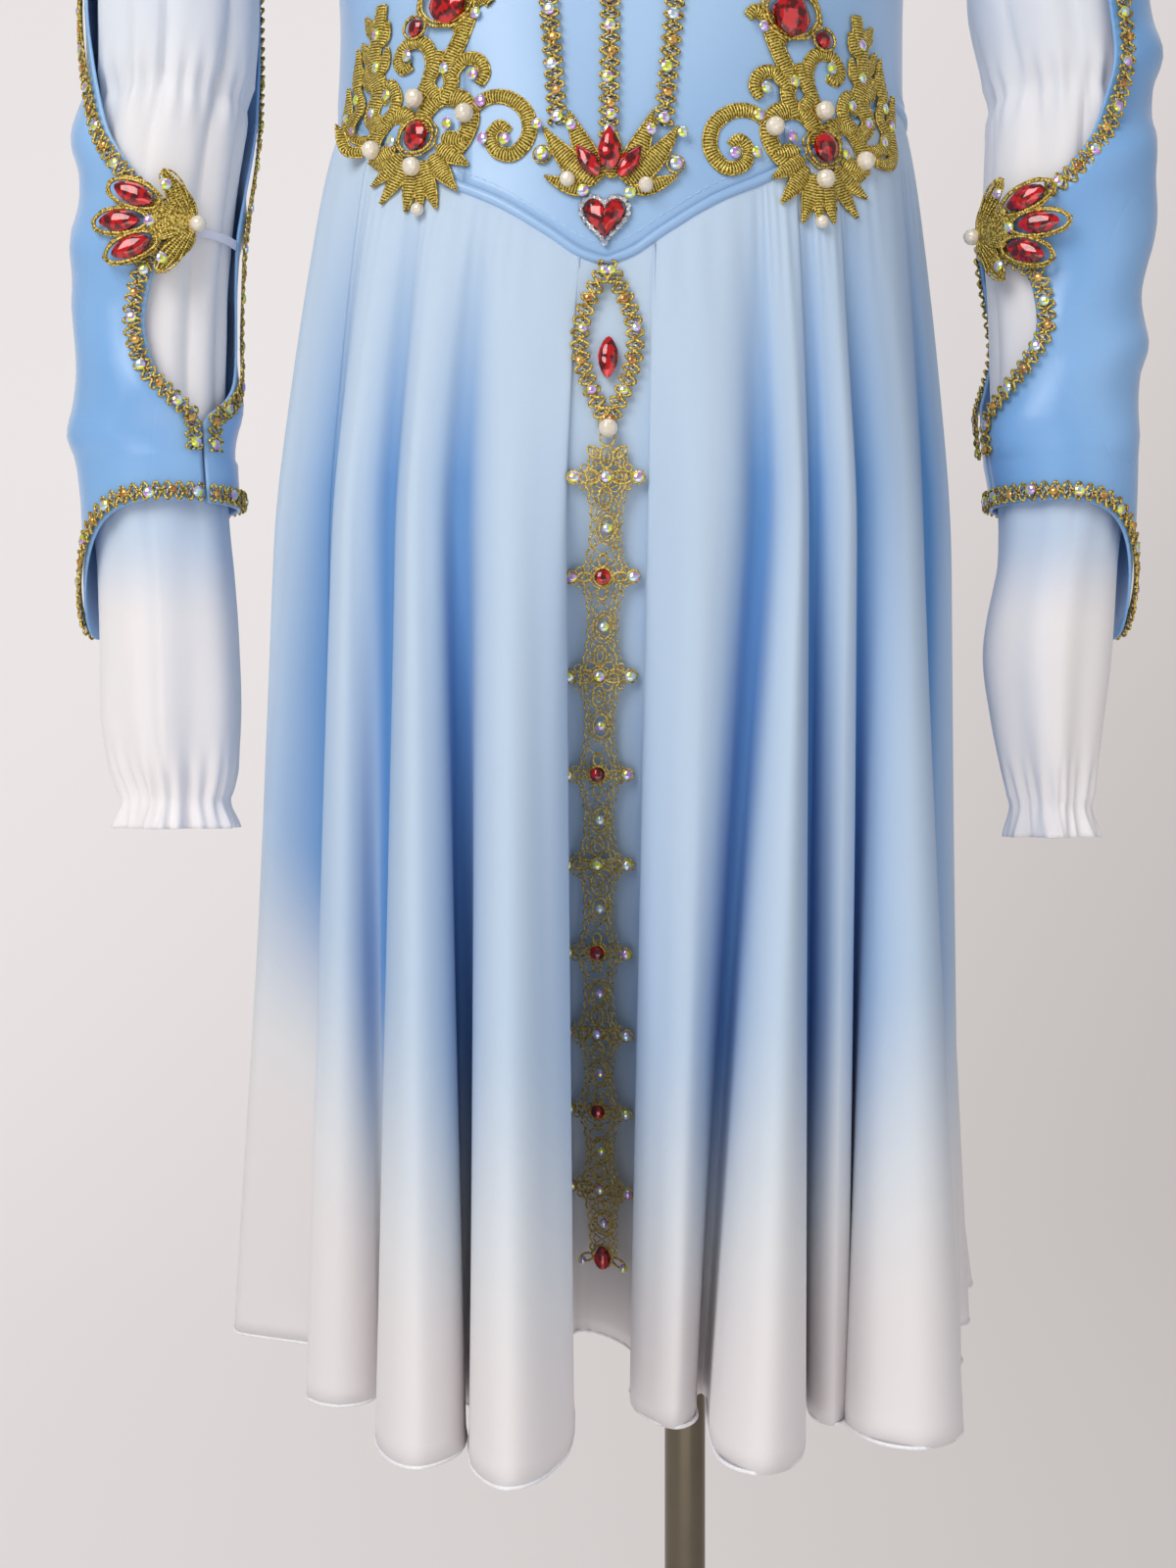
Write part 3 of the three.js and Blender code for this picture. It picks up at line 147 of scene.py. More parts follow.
SLASH = {
    "t": [1216, 1208, 1196, 1178, 1145, 1104, 1070, 1036, 1012, 1004, 991, 978, 968, 948, 930, 917, 908],
    "frontL": [-44, -28, -4, 30, 62, 70, 54, 32, 3, -10, -31, -17, -9, -4, -10, -27, -43.6],
    "innerL": [-47, -66, -88, -112, -124, -124, -116, -102, -92, -88, -84, -88, -92, -98, -88, -68, -46],
    "frontR": [-79, -62, -38, -8, 14, 18, 20, 8, -16, -35, -72, -51, -34, -29, -43, -64, -80],
    "innerR": [-82, -100, -122, -146, -158, -158, -150, -138, -128, -124, -118, -122, -126, -132, -122,
               -104, -82.4],
}
CUFF_Z, CUFF_DROP, CUFF_AT, CUFF_SPREAD = 870.0, 59.0, 108.0, 53.0

# ---------------------------------------------------------------- sizes of the scene alone
# upright axes that the outer faces of the cloth look away from
BODICE_AXIS, SKIRT_AXIS, SLEEVE_X = (2.5, 0.0), (1.5, 30.0), 206.0
# top of the side panels, and of the rows that follow the waist's point
PANEL_TOP, LOWER_TOP = 1437.0, 1080.0
# heights of the undersleeve's gather, the slash's ends and the cuff's first row
GATHER_Z, SLASH_END, SLASH_TOP, OVER_END = 1056.0, 908.0, 1212.0, 893.0
# degrees from the front, by sleeve
CUFF_SPLIT = {"left": -43.6, "right": -80.0}
STRAP_ENDS = {"left": (-31.8, -83.2), "right": (-72.8, -117.2)}
FAN_CENTRE = {"left": -22, "right": -58}
# least share of its flat rectangle that a cut is taken to cover
LEAST_CUT = 0.31


# ---------------------------------------------------------------- mathematics
def curve(x: Sequence[float], y: Sequence[float]) -> Callable[[float], float]:
    """Smooth monotone curve through the points of a table.

    Args:
        x: the places, in any order.
        y: the values there.

    Returns:
        A function that reads the curve at a place, held at its ends.
    """
    order = sorted(range(len(x)), key=lambda i: x[i])
    xs = [float(x[i]) for i in order]
    ys = [float(y[i]) for i in order]
    slopes = [(ys[i + 1] - ys[i]) / (xs[i + 1] - xs[i]) for i in range(len(xs) - 1)]
    tangents = [slopes[0]]
    for before, after in zip(slopes, slopes[1:]):
        tangents.append(0.0 if before * after <= 0 else 2 * before * after / (before + after))
    tangents.append(slopes[-1])

    def read(at: float) -> float:
        """Value of the curve at a place."""
        v = min(xs[-1], max(xs[0], at))
        i = 0
        while i < len(xs) - 2 and v > xs[i + 1]:
            i += 1
        h = xs[i + 1] - xs[i]
        f = (v - xs[i]) / h
        start = (1 + 2 * f) * (1 - f) ** 2 * ys[i] + f * (1 - f) ** 2 * h * tangents[i]
        return start + f * f * (3 - 2 * f) * ys[i + 1] + f * f * (f - 1) * h * tangents[i + 1]

    return read


def lerp(a: float, b: float, f: float) -> float:
    """Value between a and b at a share f."""
    return a + (b - a) * f


def clamp(v: float, low: float, high: float) -> float:
    """Value held between two limits."""
    return min(high, max(low, v))


def bell(v: float, middle: float, width: float) -> float:
    """Smooth bump of height one about a middle."""
    return math.exp(-(((v - middle) / width) ** 2))


def rounded(value: float) -> float:
    """Sine or cosine bent to the torso's fuller section."""
    return math.copysign(abs(value) ** (2 / SECTION_POWER), value)


def spread(count: int, start: float, end: float) -> list[float]:
    """Evenly spaced values with both ends."""
    return [start + (end - start) * i / (count - 1) for i in range(count)]


TORSO_READ = {name: curve(TORSO["z"], values) for name, values in TORSO.items() if name != "z"}
SEAM_READ = curve(WAIST_SEAM["away"], WAIST_SEAM["z"])


def torso_point(degrees: float, z: float, out: float) -> Point:
    """Point of the torso at an angle from the front, moved out."""
    side = rounded(math.sin(math.radians(degrees)))
    deep = rounded(math.cos(math.radians(degrees)))
    depth = TORSO_READ["front" if deep > 0 else "back"](z) + out
    return np.array((TORSO_READ["centre"](z) + (TORSO_READ["half"](z) + out) * side, -depth * deep, z))


def front_angle(x: float, z: float) -> float:
    """Angle from the front at which the torso has this x."""
    share = clamp((x - TORSO_READ["centre"](z)) / (TORSO_READ["half"](z) + OUTER), -1, 1)
    return math.degrees(math.asin(math.copysign(abs(share) ** (SECTION_POWER / 2), share)))


def seam_z(degrees: float) -> float:
    """Height of the waist seam at an angle from the front."""
    if abs(degrees) > 90:
        return WAIST_Z
    return SEAM_READ(abs(torso_point(degrees, WAIST_Z, OUTER)[0] - POINT_X))


def front_point(x: float, z: float, out: float) -> Point:
    """Point on the front of the torso at a width and height, moved out."""
    return torso_point(front_angle(x, z), z, out)


def spline(p: Sequence, f: float) -> Point:
    """Catmull-Rom curve between the middle two of four points, at a share f."""
    return 0.5 * (2 * p[1] + (p[2] - p[0]) * f + (2 * p[0] - 5 * p[1] + 4 * p[2] - p[3]) * f * f
                  + (3 * p[1] - p[0] - 3 * p[2] + p[3]) * f ** 3)


def heart(turn: float) -> tuple[float, float]:
    """Point of a heart's outline at a turn from its notch, about one unit in each half."""
    tall = 13 * math.cos(turn) - 5 * math.cos(2 * turn) - 2 * math.cos(3 * turn) - math.cos(4 * turn) + 2.5
    return math.sin(turn) ** 3, tall / 15


def polar(degrees: float, length: float = 1.0) -> Point:
    """Vector of a length at an angle in the flat."""
    return np.array((math.cos(math.radians(degrees)), math.sin(math.radians(degrees)))) * length


def run(points: Point, axis: int = 0) -> Point:
    """Distance along a line, or along one axis of a grid, at each of its points."""
    steps = np.cumsum(np.linalg.norm(np.diff(points, axis=axis), axis=-1), axis=axis)
    return np.insert(steps, 0, 0.0, axis=axis)


def relax(rows: Point, times: int) -> None:
    """Evens rows out in place, the first and the last kept."""
    for _ in range(times):
        rows[1:-1] = rows[1:-1] * 0.5 + (rows[:-2] + rows[2:]) * 0.25


def spans(grid: Point, axis: int) -> Point:
    """Length of each row (axis 1) or each column (axis 0) of a grid."""
    return np.linalg.norm(np.diff(grid, axis=axis), axis=-1).sum(axis=axis)


# ---------------------------------------------------------------- shader expressions
class Value:
    """A node socket that takes part in Python arithmetic."""

    def __init__(self, shader: "Shader", socket: bpy.types.NodeSocket) -> None:
        """Keeps the tree that the socket belongs to."""
        self.shader = shader
        self.socket = socket

    def _math(self, operation: str, other: object, swapped: bool = False) -> "Value":
        """Adds a Math node between this value and another."""
        pair = (other, self) if swapped else (self, other)
        return self.shader.node("ShaderNodeMath", {"operation": operation}, dict(enumerate(pair)))

    def __add__(self, other: object) -> "Value":
        """Sum."""
        return self._math("ADD", other)

    __radd__ = __add__

    def __sub__(self, other: object) -> "Value":
        """Difference."""
        return self._math("SUBTRACT", other)

    def __rsub__(self, other: object) -> "Value":
        """Difference from a number."""
        return self._math("SUBTRACT", other, True)

    def __mul__(self, other: object) -> "Value":
        """Product."""
        return self._math("MULTIPLY", other)

    __rmul__ = __mul__

    def sine(self) -> "Value":
        """Sine of the value in radians."""
        return self._math("SINE", 0.0)

    def ramp(self, low: float, high: float) -> "Value":
        """Smooth rise from nought to one between two values."""
        inputs = {"Value": self, "From Min": low, "From Max": high}
        return self.shader.node("ShaderNodeMapRange", {"interpolation_type": "SMOOTHSTEP"}, inputs)


class Shader:
    """A material under construction, ending in one Principled shader."""

    def __init__(self, name: str) -> None:
        """Starts an empty node tree."""
        self.material = bpy.data.materials.new(name)
        self.material.use_nodes = True
        self.tree = self.material.node_tree
        self.surface = self.tree.nodes["Principled BSDF"]

    def node(self, kind: str, settings: dict, inputs: dict, output: object = 0) -> Value:
        """Adds a node.

        Args:
            kind: the node's type name.
            settings: its properties.
            inputs: values or links by socket name or number.
            output: the socket that is read, by name or number.

        Returns:
            The chosen output as a value.
        """
        made = self.tree.nodes.new(kind)
        for name, value in settings.items():
            setattr(made, name, value)
        for key, value in inputs.items():
            self.feed(made.inputs[key], value)
        return Value(self, made.outputs[output])

    def feed(self, socket: bpy.types.NodeSocket, value: object) -> None:
        """Links a value to a socket, or sets the socket."""
        if isinstance(value, Value):
            self.tree.links.new(value.socket, socket)
        elif isinstance(value, tuple) and len(value) == 3 and socket.type == "RGBA":
            socket.default_value = (*value, 1.0)
        else:
            socket.default_value = value

    def place(self) -> Value:
        """Object coordinates, in metres."""
        return self.node("ShaderNodeTexCoord", {}, {}, "Object")

    def axis(self, name: str) -> Value:
        """One object coordinate, in millimetres."""
        return self.node("ShaderNodeSeparateXYZ", {}, {0: self.place()}, name) * 1000.0

    def along(self, name: str) -> Value:
        """One coordinate of the piece's own map, in millimetres."""
        chart = self.node("ShaderNodeUVMap", {"uv_map": "chart"}, {})
        return self.node("ShaderNodeSeparateXYZ", {}, {0: chart}, name) * 1000.0

    def attribute(self, name: str, output: str = "Fac") -> Value:
        """Attribute that the mesh carries."""
        return self.node("ShaderNodeAttribute", {"attribute_name": name}, {}, output)

    def noise(self, scale: float, detail: float = 3.0, stretch: tuple = (1.0, 1.0, 1.0)) -> Value:
        """Noise over the object, stretched by the inverse of three scales."""
        mapped = self.node("ShaderNodeMapping", {}, {"Vector": self.place(), "Scale": stretch})
        return self.node("ShaderNodeTexNoise", {}, {"Vector": mapped, "Scale": scale, "Detail": detail})

    def mix(self, factor: object, a: object, b: object) -> Value:
        """Colour between a and b."""
        settings = {"data_type": "RGBA"}
        return self.node("ShaderNodeMix", settings, {0: factor, 6: a, 7: b}, 2)

    def bump(self, height: Value, strength: float, distance: float) -> Value:
        """Normal raised by a height, the distance in millimetres."""
        inputs = {"Height": height, "Strength": strength, "Distance": distance * MM}
        return self.node("ShaderNodeBump", {}, inputs)

    def set(self, **sockets: object) -> None:
        """Feeds the Principled shader's sockets, underscores standing for spaces."""
        for name, value in sockets.items():
            self.feed(self.surface.inputs[name.replace("_", " ")], value)


def linear(red: int, green: int, blue: int) -> tuple[float, float, float]:
    """Display colour from 0 to 255 as linear light."""

    def channel(value: int) -> float:
        """One channel."""
        v = value / 255
        return v / 12.92 if v <= 0.04045 else ((v + 0.055) / 1.055) ** 2.4

    return channel(red), channel(green), channel(blue)


# ---------------------------------------------------------------- meshes
def unit(vectors: Point) -> Point:
    """Vectors of length one."""
    return vectors / np.maximum(np.linalg.norm(vectors, axis=-1, keepdims=True), 1e-9)


def grid_normals(grid: Point, around: bool, centre: tuple[float, float]) -> Point:
    """Smooth normals of a grid of points, turned away from an upright axis.

    Args:
        grid: points as rows, columns and coordinates.
        around: whether the last column meets the first.
        centre: x and y of the axis.

    Returns:
        One normal a point.
    """
    if around:
        across = np.roll(grid, -1, axis=1) - np.roll(grid, 1, axis=1)
    else:
        across = np.gradient(grid, axis=1)
    normals = unit(np.cross(across, np.gradient(grid, axis=0)))
    away = grid[..., :2] - np.array(centre)
    if np.sum(normals[..., :2] * away) < 0:
        normals = -normals
    return normals


class Build:
    """Points and faces gathered for one mesh."""

    def __init__(self) -> None:
        """Starts empty."""
        self.points: list[tuple] = []
        self.faces: list[tuple] = []
        self.chart: list[tuple] = []

    def add(self, points: Sequence, faces: Sequence, chart: Sequence | None = None) -> None:
        """Adds points in millimetres, faces among them and a chart value for each point."""
        first = len(self.points)
        self.points.extend(tuple(float(c) for c in p) for p in points)
        self.faces.extend(tuple(first + i for i in face) for face in faces)
        self.chart.extend(chart if chart is not None else ((0.0, 0.0) for _ in points))

    def shell(self, grid: Point, thickness: float, around: bool = False, centre: tuple = (0.0, 0.0)) -> None:
        """Adds cloth: a grid as the outer face, an inner face behind it and closed edges.

        Args:
            grid: outer face as rows, columns and coordinates.
            thickness: of the cloth.
            around: whether the last column meets the first.
            centre: axis that the outer face looks away from.
        """
        inner = grid - grid_normals(grid, around, centre) * thickness
        chart = zip((run(grid, 1).ravel() * MM).tolist(), (run(grid, 0).ravel() * MM).tolist())
        self.slab(grid, inner, list(chart), around)

    def slab(self, top: Point, flat: Point, chart: list, around: bool = False) -> None:
        """Adds the closed slab between two grids.

        Args:
            top: outer grid.
            flat: inner grid.
            chart: chart value for each point of one grid.
            around: whether the last column meets the first.
        """
        rows, columns = top.shape[:2]
        half = rows * columns
        faces = []
        across = columns if around else columns - 1
        for j in range(rows - 1):
            for i in range(across):
                a, b = j * columns + i, j * columns + (i + 1) % columns
                faces.append((a, b, b + columns, a + columns))
                faces.append((half + a, half + a + columns, half + b + columns, half + b))
        rims = []
        if not around:
            for a in range(0, half - columns, columns):
                rims += [(a, a + columns), (a + 2 * columns - 1, a + columns - 1)]
        last = half - columns
        for i in range(across):
            rims += [((i + 1) % columns, i), (last + i, last + (i + 1) % columns)]
        faces += [(a, b, half + b, half + a) for a, b in rims]
        self.add(np.concatenate([top.reshape(-1, 3), flat.reshape(-1, 3)]), faces, chart * 2)

    def cord(self, line: Point, radius: object, sides: int, normals: Point, closed: bool = False) -> None:
        """Adds a round cord along a line.

        Args:
            line: points of its middle.
            radius: one number, or one for each point.
            sides: corners of its section.
            normals: direction away from the cloth at each point.
            closed: whether the end meets the start.
        """
        line = np.asarray(line, dtype=float)
        count = len(line)
        radii = np.broadcast_to(np.asarray(radius, dtype=float), (count,))
        if closed:
            tangent = unit(np.roll(line, -1, axis=0) - np.roll(line, 1, axis=0))
        else:
            tangent = unit(np.gradient(line, axis=0))
        side = unit(np.cross(tangent, normals))
        up = np.cross(side, tangent)
        points = []
        for k in range(sides):
            a = 2 * math.pi * (k + 0.5) / sides
            offset = side * math.cos(a) + up * math.sin(a)
            points.append(line + offset * radii[:, None])
        rings = np.stack(points, axis=1).reshape(-1, 3)
        length = run(line) * MM
        chart = [(length[i], k / sides) for i in range(count) for k in range(sides)]
        faces = []
        for i in range(count if closed else count - 1):
            nxt = (i + 1) % count
            for k in range(sides):
                l = (k + 1) % sides
                faces.append((i * sides + k, i * sides + l, nxt * sides + l, nxt * sides + k))
        if not closed:
            faces.append(tuple(reversed(range(sides))))
            faces.append(tuple((count - 1) * sides + k for k in range(sides)))
        self.add(rings, faces, chart)

    def make(self, name: str, smooth: float | None = None) -> Piece:
        """Turns what was gathered into an object with faces outward.

        Args:
            name: of the object.
            smooth: angle under which edges shade smooth, in degrees; all of them when left out.

        Returns:
            The object, unturned at the origin.
        """
        mesh = bpy.data.meshes.new(name)
        mesh.from_pydata([tuple(c * MM for c in p) for p in self.points], [], self.faces)
        layer = mesh.uv_layers.new(name="chart")
        corners = np.empty(len(mesh.loops), dtype=np.int32)
        mesh.loops.foreach_get("vertex_index", corners)
        layer.data.foreach_set("uv", np.array(self.chart, dtype=np.float32)[corners].ravel())
        work = bmesh.new()
        work.from_mesh(mesh)
        bmesh.ops.recalc_face_normals(work, faces=work.faces)
        work.to_mesh(mesh)
        work.free()
        made = bpy.data.objects.new(name, mesh)
        bpy.context.scene.collection.objects.link(made)
        mesh.shade_smooth()
        if smooth is not None:
            shade(made, smooth)
        return made


def only(piece: Piece) -> None:
    """Makes a piece the one that is selected and active."""
    for other in bpy.context.selected_objects:
        other.select_set(False)
    piece.select_set(True)
    bpy.context.view_layer.objects.active = piece


def edit(piece: Piece, kind: str, chosen: Callable) -> None:
    """Opens edit mode on the active piece with only the chosen faces or edges selected."""
    bpy.ops.object.mode_set(mode="EDIT")
    bpy.ops.mesh.select_all(action="DESELECT")
    bpy.ops.object.mode_set(mode="OBJECT")
    for part in getattr(piece.data, kind):
        part.select = chosen(part)
    bpy.ops.object.mode_set(mode="EDIT")


def shade(piece: Piece, degrees: float) -> None:
    """Shades a piece smooth below an angle."""
    only(piece)
    bpy.ops.object.shade_smooth_by_angle(angle=math.radians(degrees))


# materials by short name, filled by build_finishes
FINISHES: dict[str, Material] = {}


def settle(piece: Piece, finish: str, slot: str, *nodes: str) -> Piece:
    """Gives a piece its finish, parents it to the root, hides the nodes it stands for, and logs it."""
    piece.data.materials.clear()
    piece.data.materials.append(FINISHES[finish])
    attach(piece, "root")
    if nodes:
        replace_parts(piece, *nodes)
    LOG.info("%s: %d faces", piece.name, len(piece.data.polygons))
    return piece


def state_cut(grid: Point, width: float, length: float) -> None:
    """Works out the share of its flat cut that a sheet of cloth covers; nothing is kept.

    Args:
        grid: its outer face.
        width: of the cut, in millimetres.
        length: of the cut, in millimetres.
    """
    width, length = float(width) * MM, float(length) * MM
    cells = np.cross(np.gradient(grid, axis=0), np.gradient(grid, axis=1))
    area = float(np.linalg.norm(cells, axis=-1).sum()) * MM * MM
    share = clamp(area / (width * length), LEAST_CUT, 1.0)
    share * width * length


# ---------------------------------------------------------------- finishes
@dataclass(frozen=True)
class Satin:
    """Stretch satin: a soft blue with broad highlights and a fine weave."""

    name: str = "satin_blue"
    light: tuple = linear(166, 199, 234)
    deep: tuple = linear(142, 179, 221)
    rough: float = 0.32

    def make(self) -> Material:
        """Builds the material."""
        s = Shader(self.name)
        cloud = s.noise(9.0, 2.0, (1.0, 1.0, 0.5))
        weave = (s.along("X") * 9.0).sine() * (s.along("Y") * 9.0).sine()
        s.set(Base_Color=s.mix(cloud.ramp(0.35, 0.7), self.deep, self.light), Metallic=0.0,
              Roughness=cloud * 0.12 + (self.rough - 0.06), Sheen_Weight=0.25, Sheen_Roughness=0.4,
              Specular_IOR_Level=0.6, Normal=s.bump(weave * 0.5 + s.noise(420.0, 1.0), 0.12, 0.25))
        return s.material


@dataclass(frozen=True)
class SkirtChiffon:
    """Chiffon over a lining, dip-dyed from blue at the waist to white at the hem, its blue deepened by
    painted shade.
    """

    name: str = "skirt_dip_dye"
    # painted shade: the darker blue that the fold hollows and the right side are mixed towards
    blue: tuple = linear(188, 208, 231)
    deep: tuple = linear(88, 140, 200)
    white: tuple = linear(229, 225, 227)
    warm: tuple = linear(222, 225, 230)

    def make(self) -> Material:
        """Builds the material."""
        s = Shader(self.name)
        tide = s.attribute("tide")
        valley = s.attribute("valley")
        cloud = s.noise(6.0, 3.0, (1.0, 1.0, 0.45))
        white = (tide + (cloud - 0.5) * 0.2).ramp(0.08, 0.8)
        # painted shade: the blue darkens in fold hollows and towards the right side, partly also the deeper
        # blue of chiffon lying in layers there
        blue = s.mix(valley * 0.95 + (cloud - 0.5) * 0.5 - 0.04, self.blue, self.deep)
        dyed = s.mix(white, blue, s.mix(tide.ramp(0.6, 1.0), self.warm, self.white))
        crepe = s.noise(650.0, 2.0)
        fibre = (s.along("X") * 7.0).sine()
        s.set(Base_Color=dyed, Metallic=0.0,
              Roughness=0.88, Specular_IOR_Level=0.12, Sheen_Weight=0.08, Sheen_Roughness=0.5,
              Subsurface_Weight=0.14, Subsurface_Radius=(0.01, 0.01, 0.012), Subsurface_Scale=0.6,
              Normal=s.bump(crepe * 0.6 + fibre * 0.14, 0.12, 0.35))
        return s.material


@dataclass(frozen=True)
class SleeveChiffon:
    """White chiffon, sheer enough to look blue where it is over the satin."""

    name: str = "sleeve_chiffon_white"
    white: tuple = linear(242, 238, 240)
    shade: tuple = linear(226, 229, 236)
    dyed: tuple = linear(176, 204, 236)

    def make(self) -> Material:
        """Builds the material."""
        s = Shader(self.name)
        cloud = s.noise(14.0, 2.0, (1.0, 1.0, 0.4))
        crepe = s.noise(700.0, 2.0)
        height = s.axis("Z")
        dip = height.ramp(812.0, 862.0) * (1.0 - height.ramp(874.0, 890.0))
        upper = height.ramp(1015.0, 1100.0) * 0.3
        colour = s.mix(cloud.ramp(0.4, 0.75), self.white, self.shade)
        s.set(Base_Color=s.mix(dip * 0.75 + upper, colour, self.dyed), Metallic=0.0, Roughness=0.78,
              Specular_IOR_Level=0.25, Sheen_Weight=0.2, Sheen_Roughness=0.5, Subsurface_Weight=0.2,
              Subsurface_Radius=(0.01, 0.01, 0.012), Subsurface_Scale=0.5,
              Normal=s.bump(crepe, 0.12, 0.3))
        return s.material


@dataclass(frozen=True)
class MetalThread:
    """Metallic thread: gold or silver, dulled by its winding."""

    name: str
    light: tuple
    dark: tuple
    rough: float = 0.38
    pitch: float = 5.0

    def make(self) -> Material:
        """Builds the material."""
        s = Shader(self.name)
        grain = s.noise(900.0, 2.0)
        wound = (s.along("X") * self.pitch).sine()
        s.set(Base_Color=s.mix(grain.ramp(0.35, 0.65), self.dark, self.light), Metallic=0.72,
              Roughness=grain * 0.2 + (self.rough - 0.1),
              Normal=s.bump(wound * 0.5 + grain, 0.5, 0.3))
        return s.material


@dataclass(frozen=True)
class Stitching:
    """Satin stitch in gold thread: ribs across the way that each stroke runs, painted dark in the grooves and
    light on the crests.
    """

    name: str = "gold_satin_stitch"
    # light is a painted highlight and dark a painted shade between the ribs; mid is the thread's own gold
    light: tuple = linear(244, 222, 120)
    mid: tuple = linear(178, 150, 50)
    dark: tuple = linear(82, 64, 16)

    def make(self) -> Material:
        """Builds the material."""
        s = Shader(self.name)
        rib = (s.along("X") * 5.2).sine() * 0.5 + 0.5
        grain = s.noise(1100.0, 2.0)
        # painted shade: the thread goes dark in the grooves between the ribs
        thread = s.mix(rib.ramp(0.05, 0.6), self.dark, self.mid)
        # painted highlight: the light colour on the rib crests and in bright grain
        s.set(Base_Color=s.mix((grain + rib * 0.25).ramp(0.5, 0.85), thread, self.light), Metallic=0.62,
              Roughness=grain * 0.25 + 0.3, Normal=s.bump(rib + grain * 0.5, 0.9, 0.45))
        return s.material


@dataclass(frozen=True)
class Stone:
    """Glass stone with a foiled back."""

    name: str
    core: tuple
    edge: tuple
    metal: float = 0.25
    flash: tuple | None = None

    def make(self) -> Material:
        """Builds the material."""
        s = Shader(self.name)
        cells = s.noise(330.0, 1.0)
        colour = s.mix(cells.ramp(0.42, 0.58), self.core, self.edge)
        if self.flash is not None:
            colour = s.mix(s.noise(410.0, 0.0).ramp(0.52, 0.6), colour, self.flash)
        s.set(Base_Color=colour, Metallic=self.metal, Roughness=0.08, Specular_IOR_Level=0.9, Coat_Weight=0.6,
              Coat_Roughness=0.03)
        return s.material


@dataclass(frozen=True)
class Plain:
    """Even finish with a little grain."""

    name: str
    colour: tuple
    rough: float
    metal: float = 0.0
    grain: float = 120.0
    relief: float = 0.2
    coat: float = 0.0
    contrast: float = 0.08

    def make(self) -> Material:
        """Builds the material."""
        s = Shader(self.name)
        grain = s.noise(self.grain, 3.0)
        darker = tuple(c * (1 - self.contrast) for c in self.colour)
        s.set(Base_Color=s.mix(grain.ramp(0.3, 0.7), darker, self.colour), Metallic=self.metal,
              Roughness=grain * 0.1 + (self.rough - 0.05), Coat_Weight=self.coat,
              Normal=s.bump(grain, self.relief, 0.3))
        return s.material


@dataclass(frozen=True)
class Wall:
    """Plain wall lit by its own glow, with painted shade that falls off to the right and to the floor."""

    name: str = "backdrop_white"
    bright: tuple = linear(228, 223, 222)
    painted_shade: tuple = linear(170, 162, 160)

    def make(self) -> Material:
        """Builds the material."""
        s = Shader(self.name)
        # painted shade: the glow dims to the right, downwards and towards the front
        fall = s.axis("X") * 0.00022 - s.axis("Z") * 0.00016 - s.axis("Y") * 0.00004 + 0.62
        s.set(Base_Color=(0.3, 0.3, 0.3), Roughness=0.9, Specular_IOR_Level=0.0, Emission_Strength=0.87,
              Emission_Color=s.mix(fall.ramp(0.0, 1.0), self.bright, self.painted_shade))
        return s.material


def build_finishes() -> None:
    """Builds every finish once, by its short name."""
    finishes = {
        "satin": Satin(),
        "sleeve_satin": Satin("sleeve_satin_blue", linear(146, 190, 236), linear(112, 164, 220), 0.27),
        "skirt": SkirtChiffon(),
        "chiffon": SleeveChiffon(),
        "gold": MetalThread("gold_thread", linear(240, 212, 112), linear(128, 100, 30)),
        "silver": MetalThread("silver_thread", linear(222, 222, 216), linear(120, 116, 104), 0.3),
        "embroidery": Stitching(),
        "backing": MetalThread("gold_backing", linear(164, 142, 70), linear(100, 82, 36), 0.5),
        "lace": MetalThread("gold_lace_thread", linear(226, 202, 122), linear(160, 132, 56), 0.45),
        "red": Stone("red_glass", linear(206, 4, 14), linear(92, 0, 6), 0.3),
        "ab": Stone("aurora_glass", linear(200, 226, 236), linear(206, 158, 232), 0.5,
                    linear(226, 236, 84)),
        "amber": Stone("amber_glass", linear(216, 164, 70), linear(160, 104, 40), 0.35),
        "clear": Stone("clear_glass", linear(232, 236, 242), linear(176, 188, 210), 0.55),
        "pearl": Plain("pearl_glaze", linear(236, 226, 208), 0.22, 0.1, 40.0, 0.02, 0.7, 0.12),
        "elastic": Plain("elastic_lilac", linear(222, 222, 238), 0.7, 0.0, 500.0, 0.4),
        "cover": Plain("form_cover", linear(228, 222, 214), 0.85, 0.0, 700.0, 0.3),
        "steel": Plain("dark_steel", linear(112, 104, 90), 0.3, 0.9, 60.0, 0.05),
        "thread": Plain("pale_thread", linear(186, 212, 240), 0.6, 0.0, 500.0, 0.2),
        "hem": Plain("rolled_hem", linear(244, 244, 248), 0.7, 0.0, 500.0, 0.2),
        "wall": Wall(),
    }
    FINISHES.update((key, finish.make()) for key, finish in finishes.items())


# ---------------------------------------------------------------- skirt
class Level(Enum):
    """Heights that the skirt's rows are counted from."""

    SEAM = 0.0
    HIP = 1.0
    HEM = 2.0


FOLD_SHAPE = ((0.55, -0.5, -0.6, 0.0), (0.86, -0.36, -0.3, 0.6), (1.0, 0.0, 0.0, 1.0), (0.86, 0.36, 0.3, 0.6),
              (0.55, 0.5, 0.6, 0.0))
PER_FOLD = len(FOLD_SHAPE) + 2
FRONT_START, FRONT_STOP = FRONT_FIRST * PER_FOLD - 2, (FRONT_LAST + 1) * PER_FOLD - 2


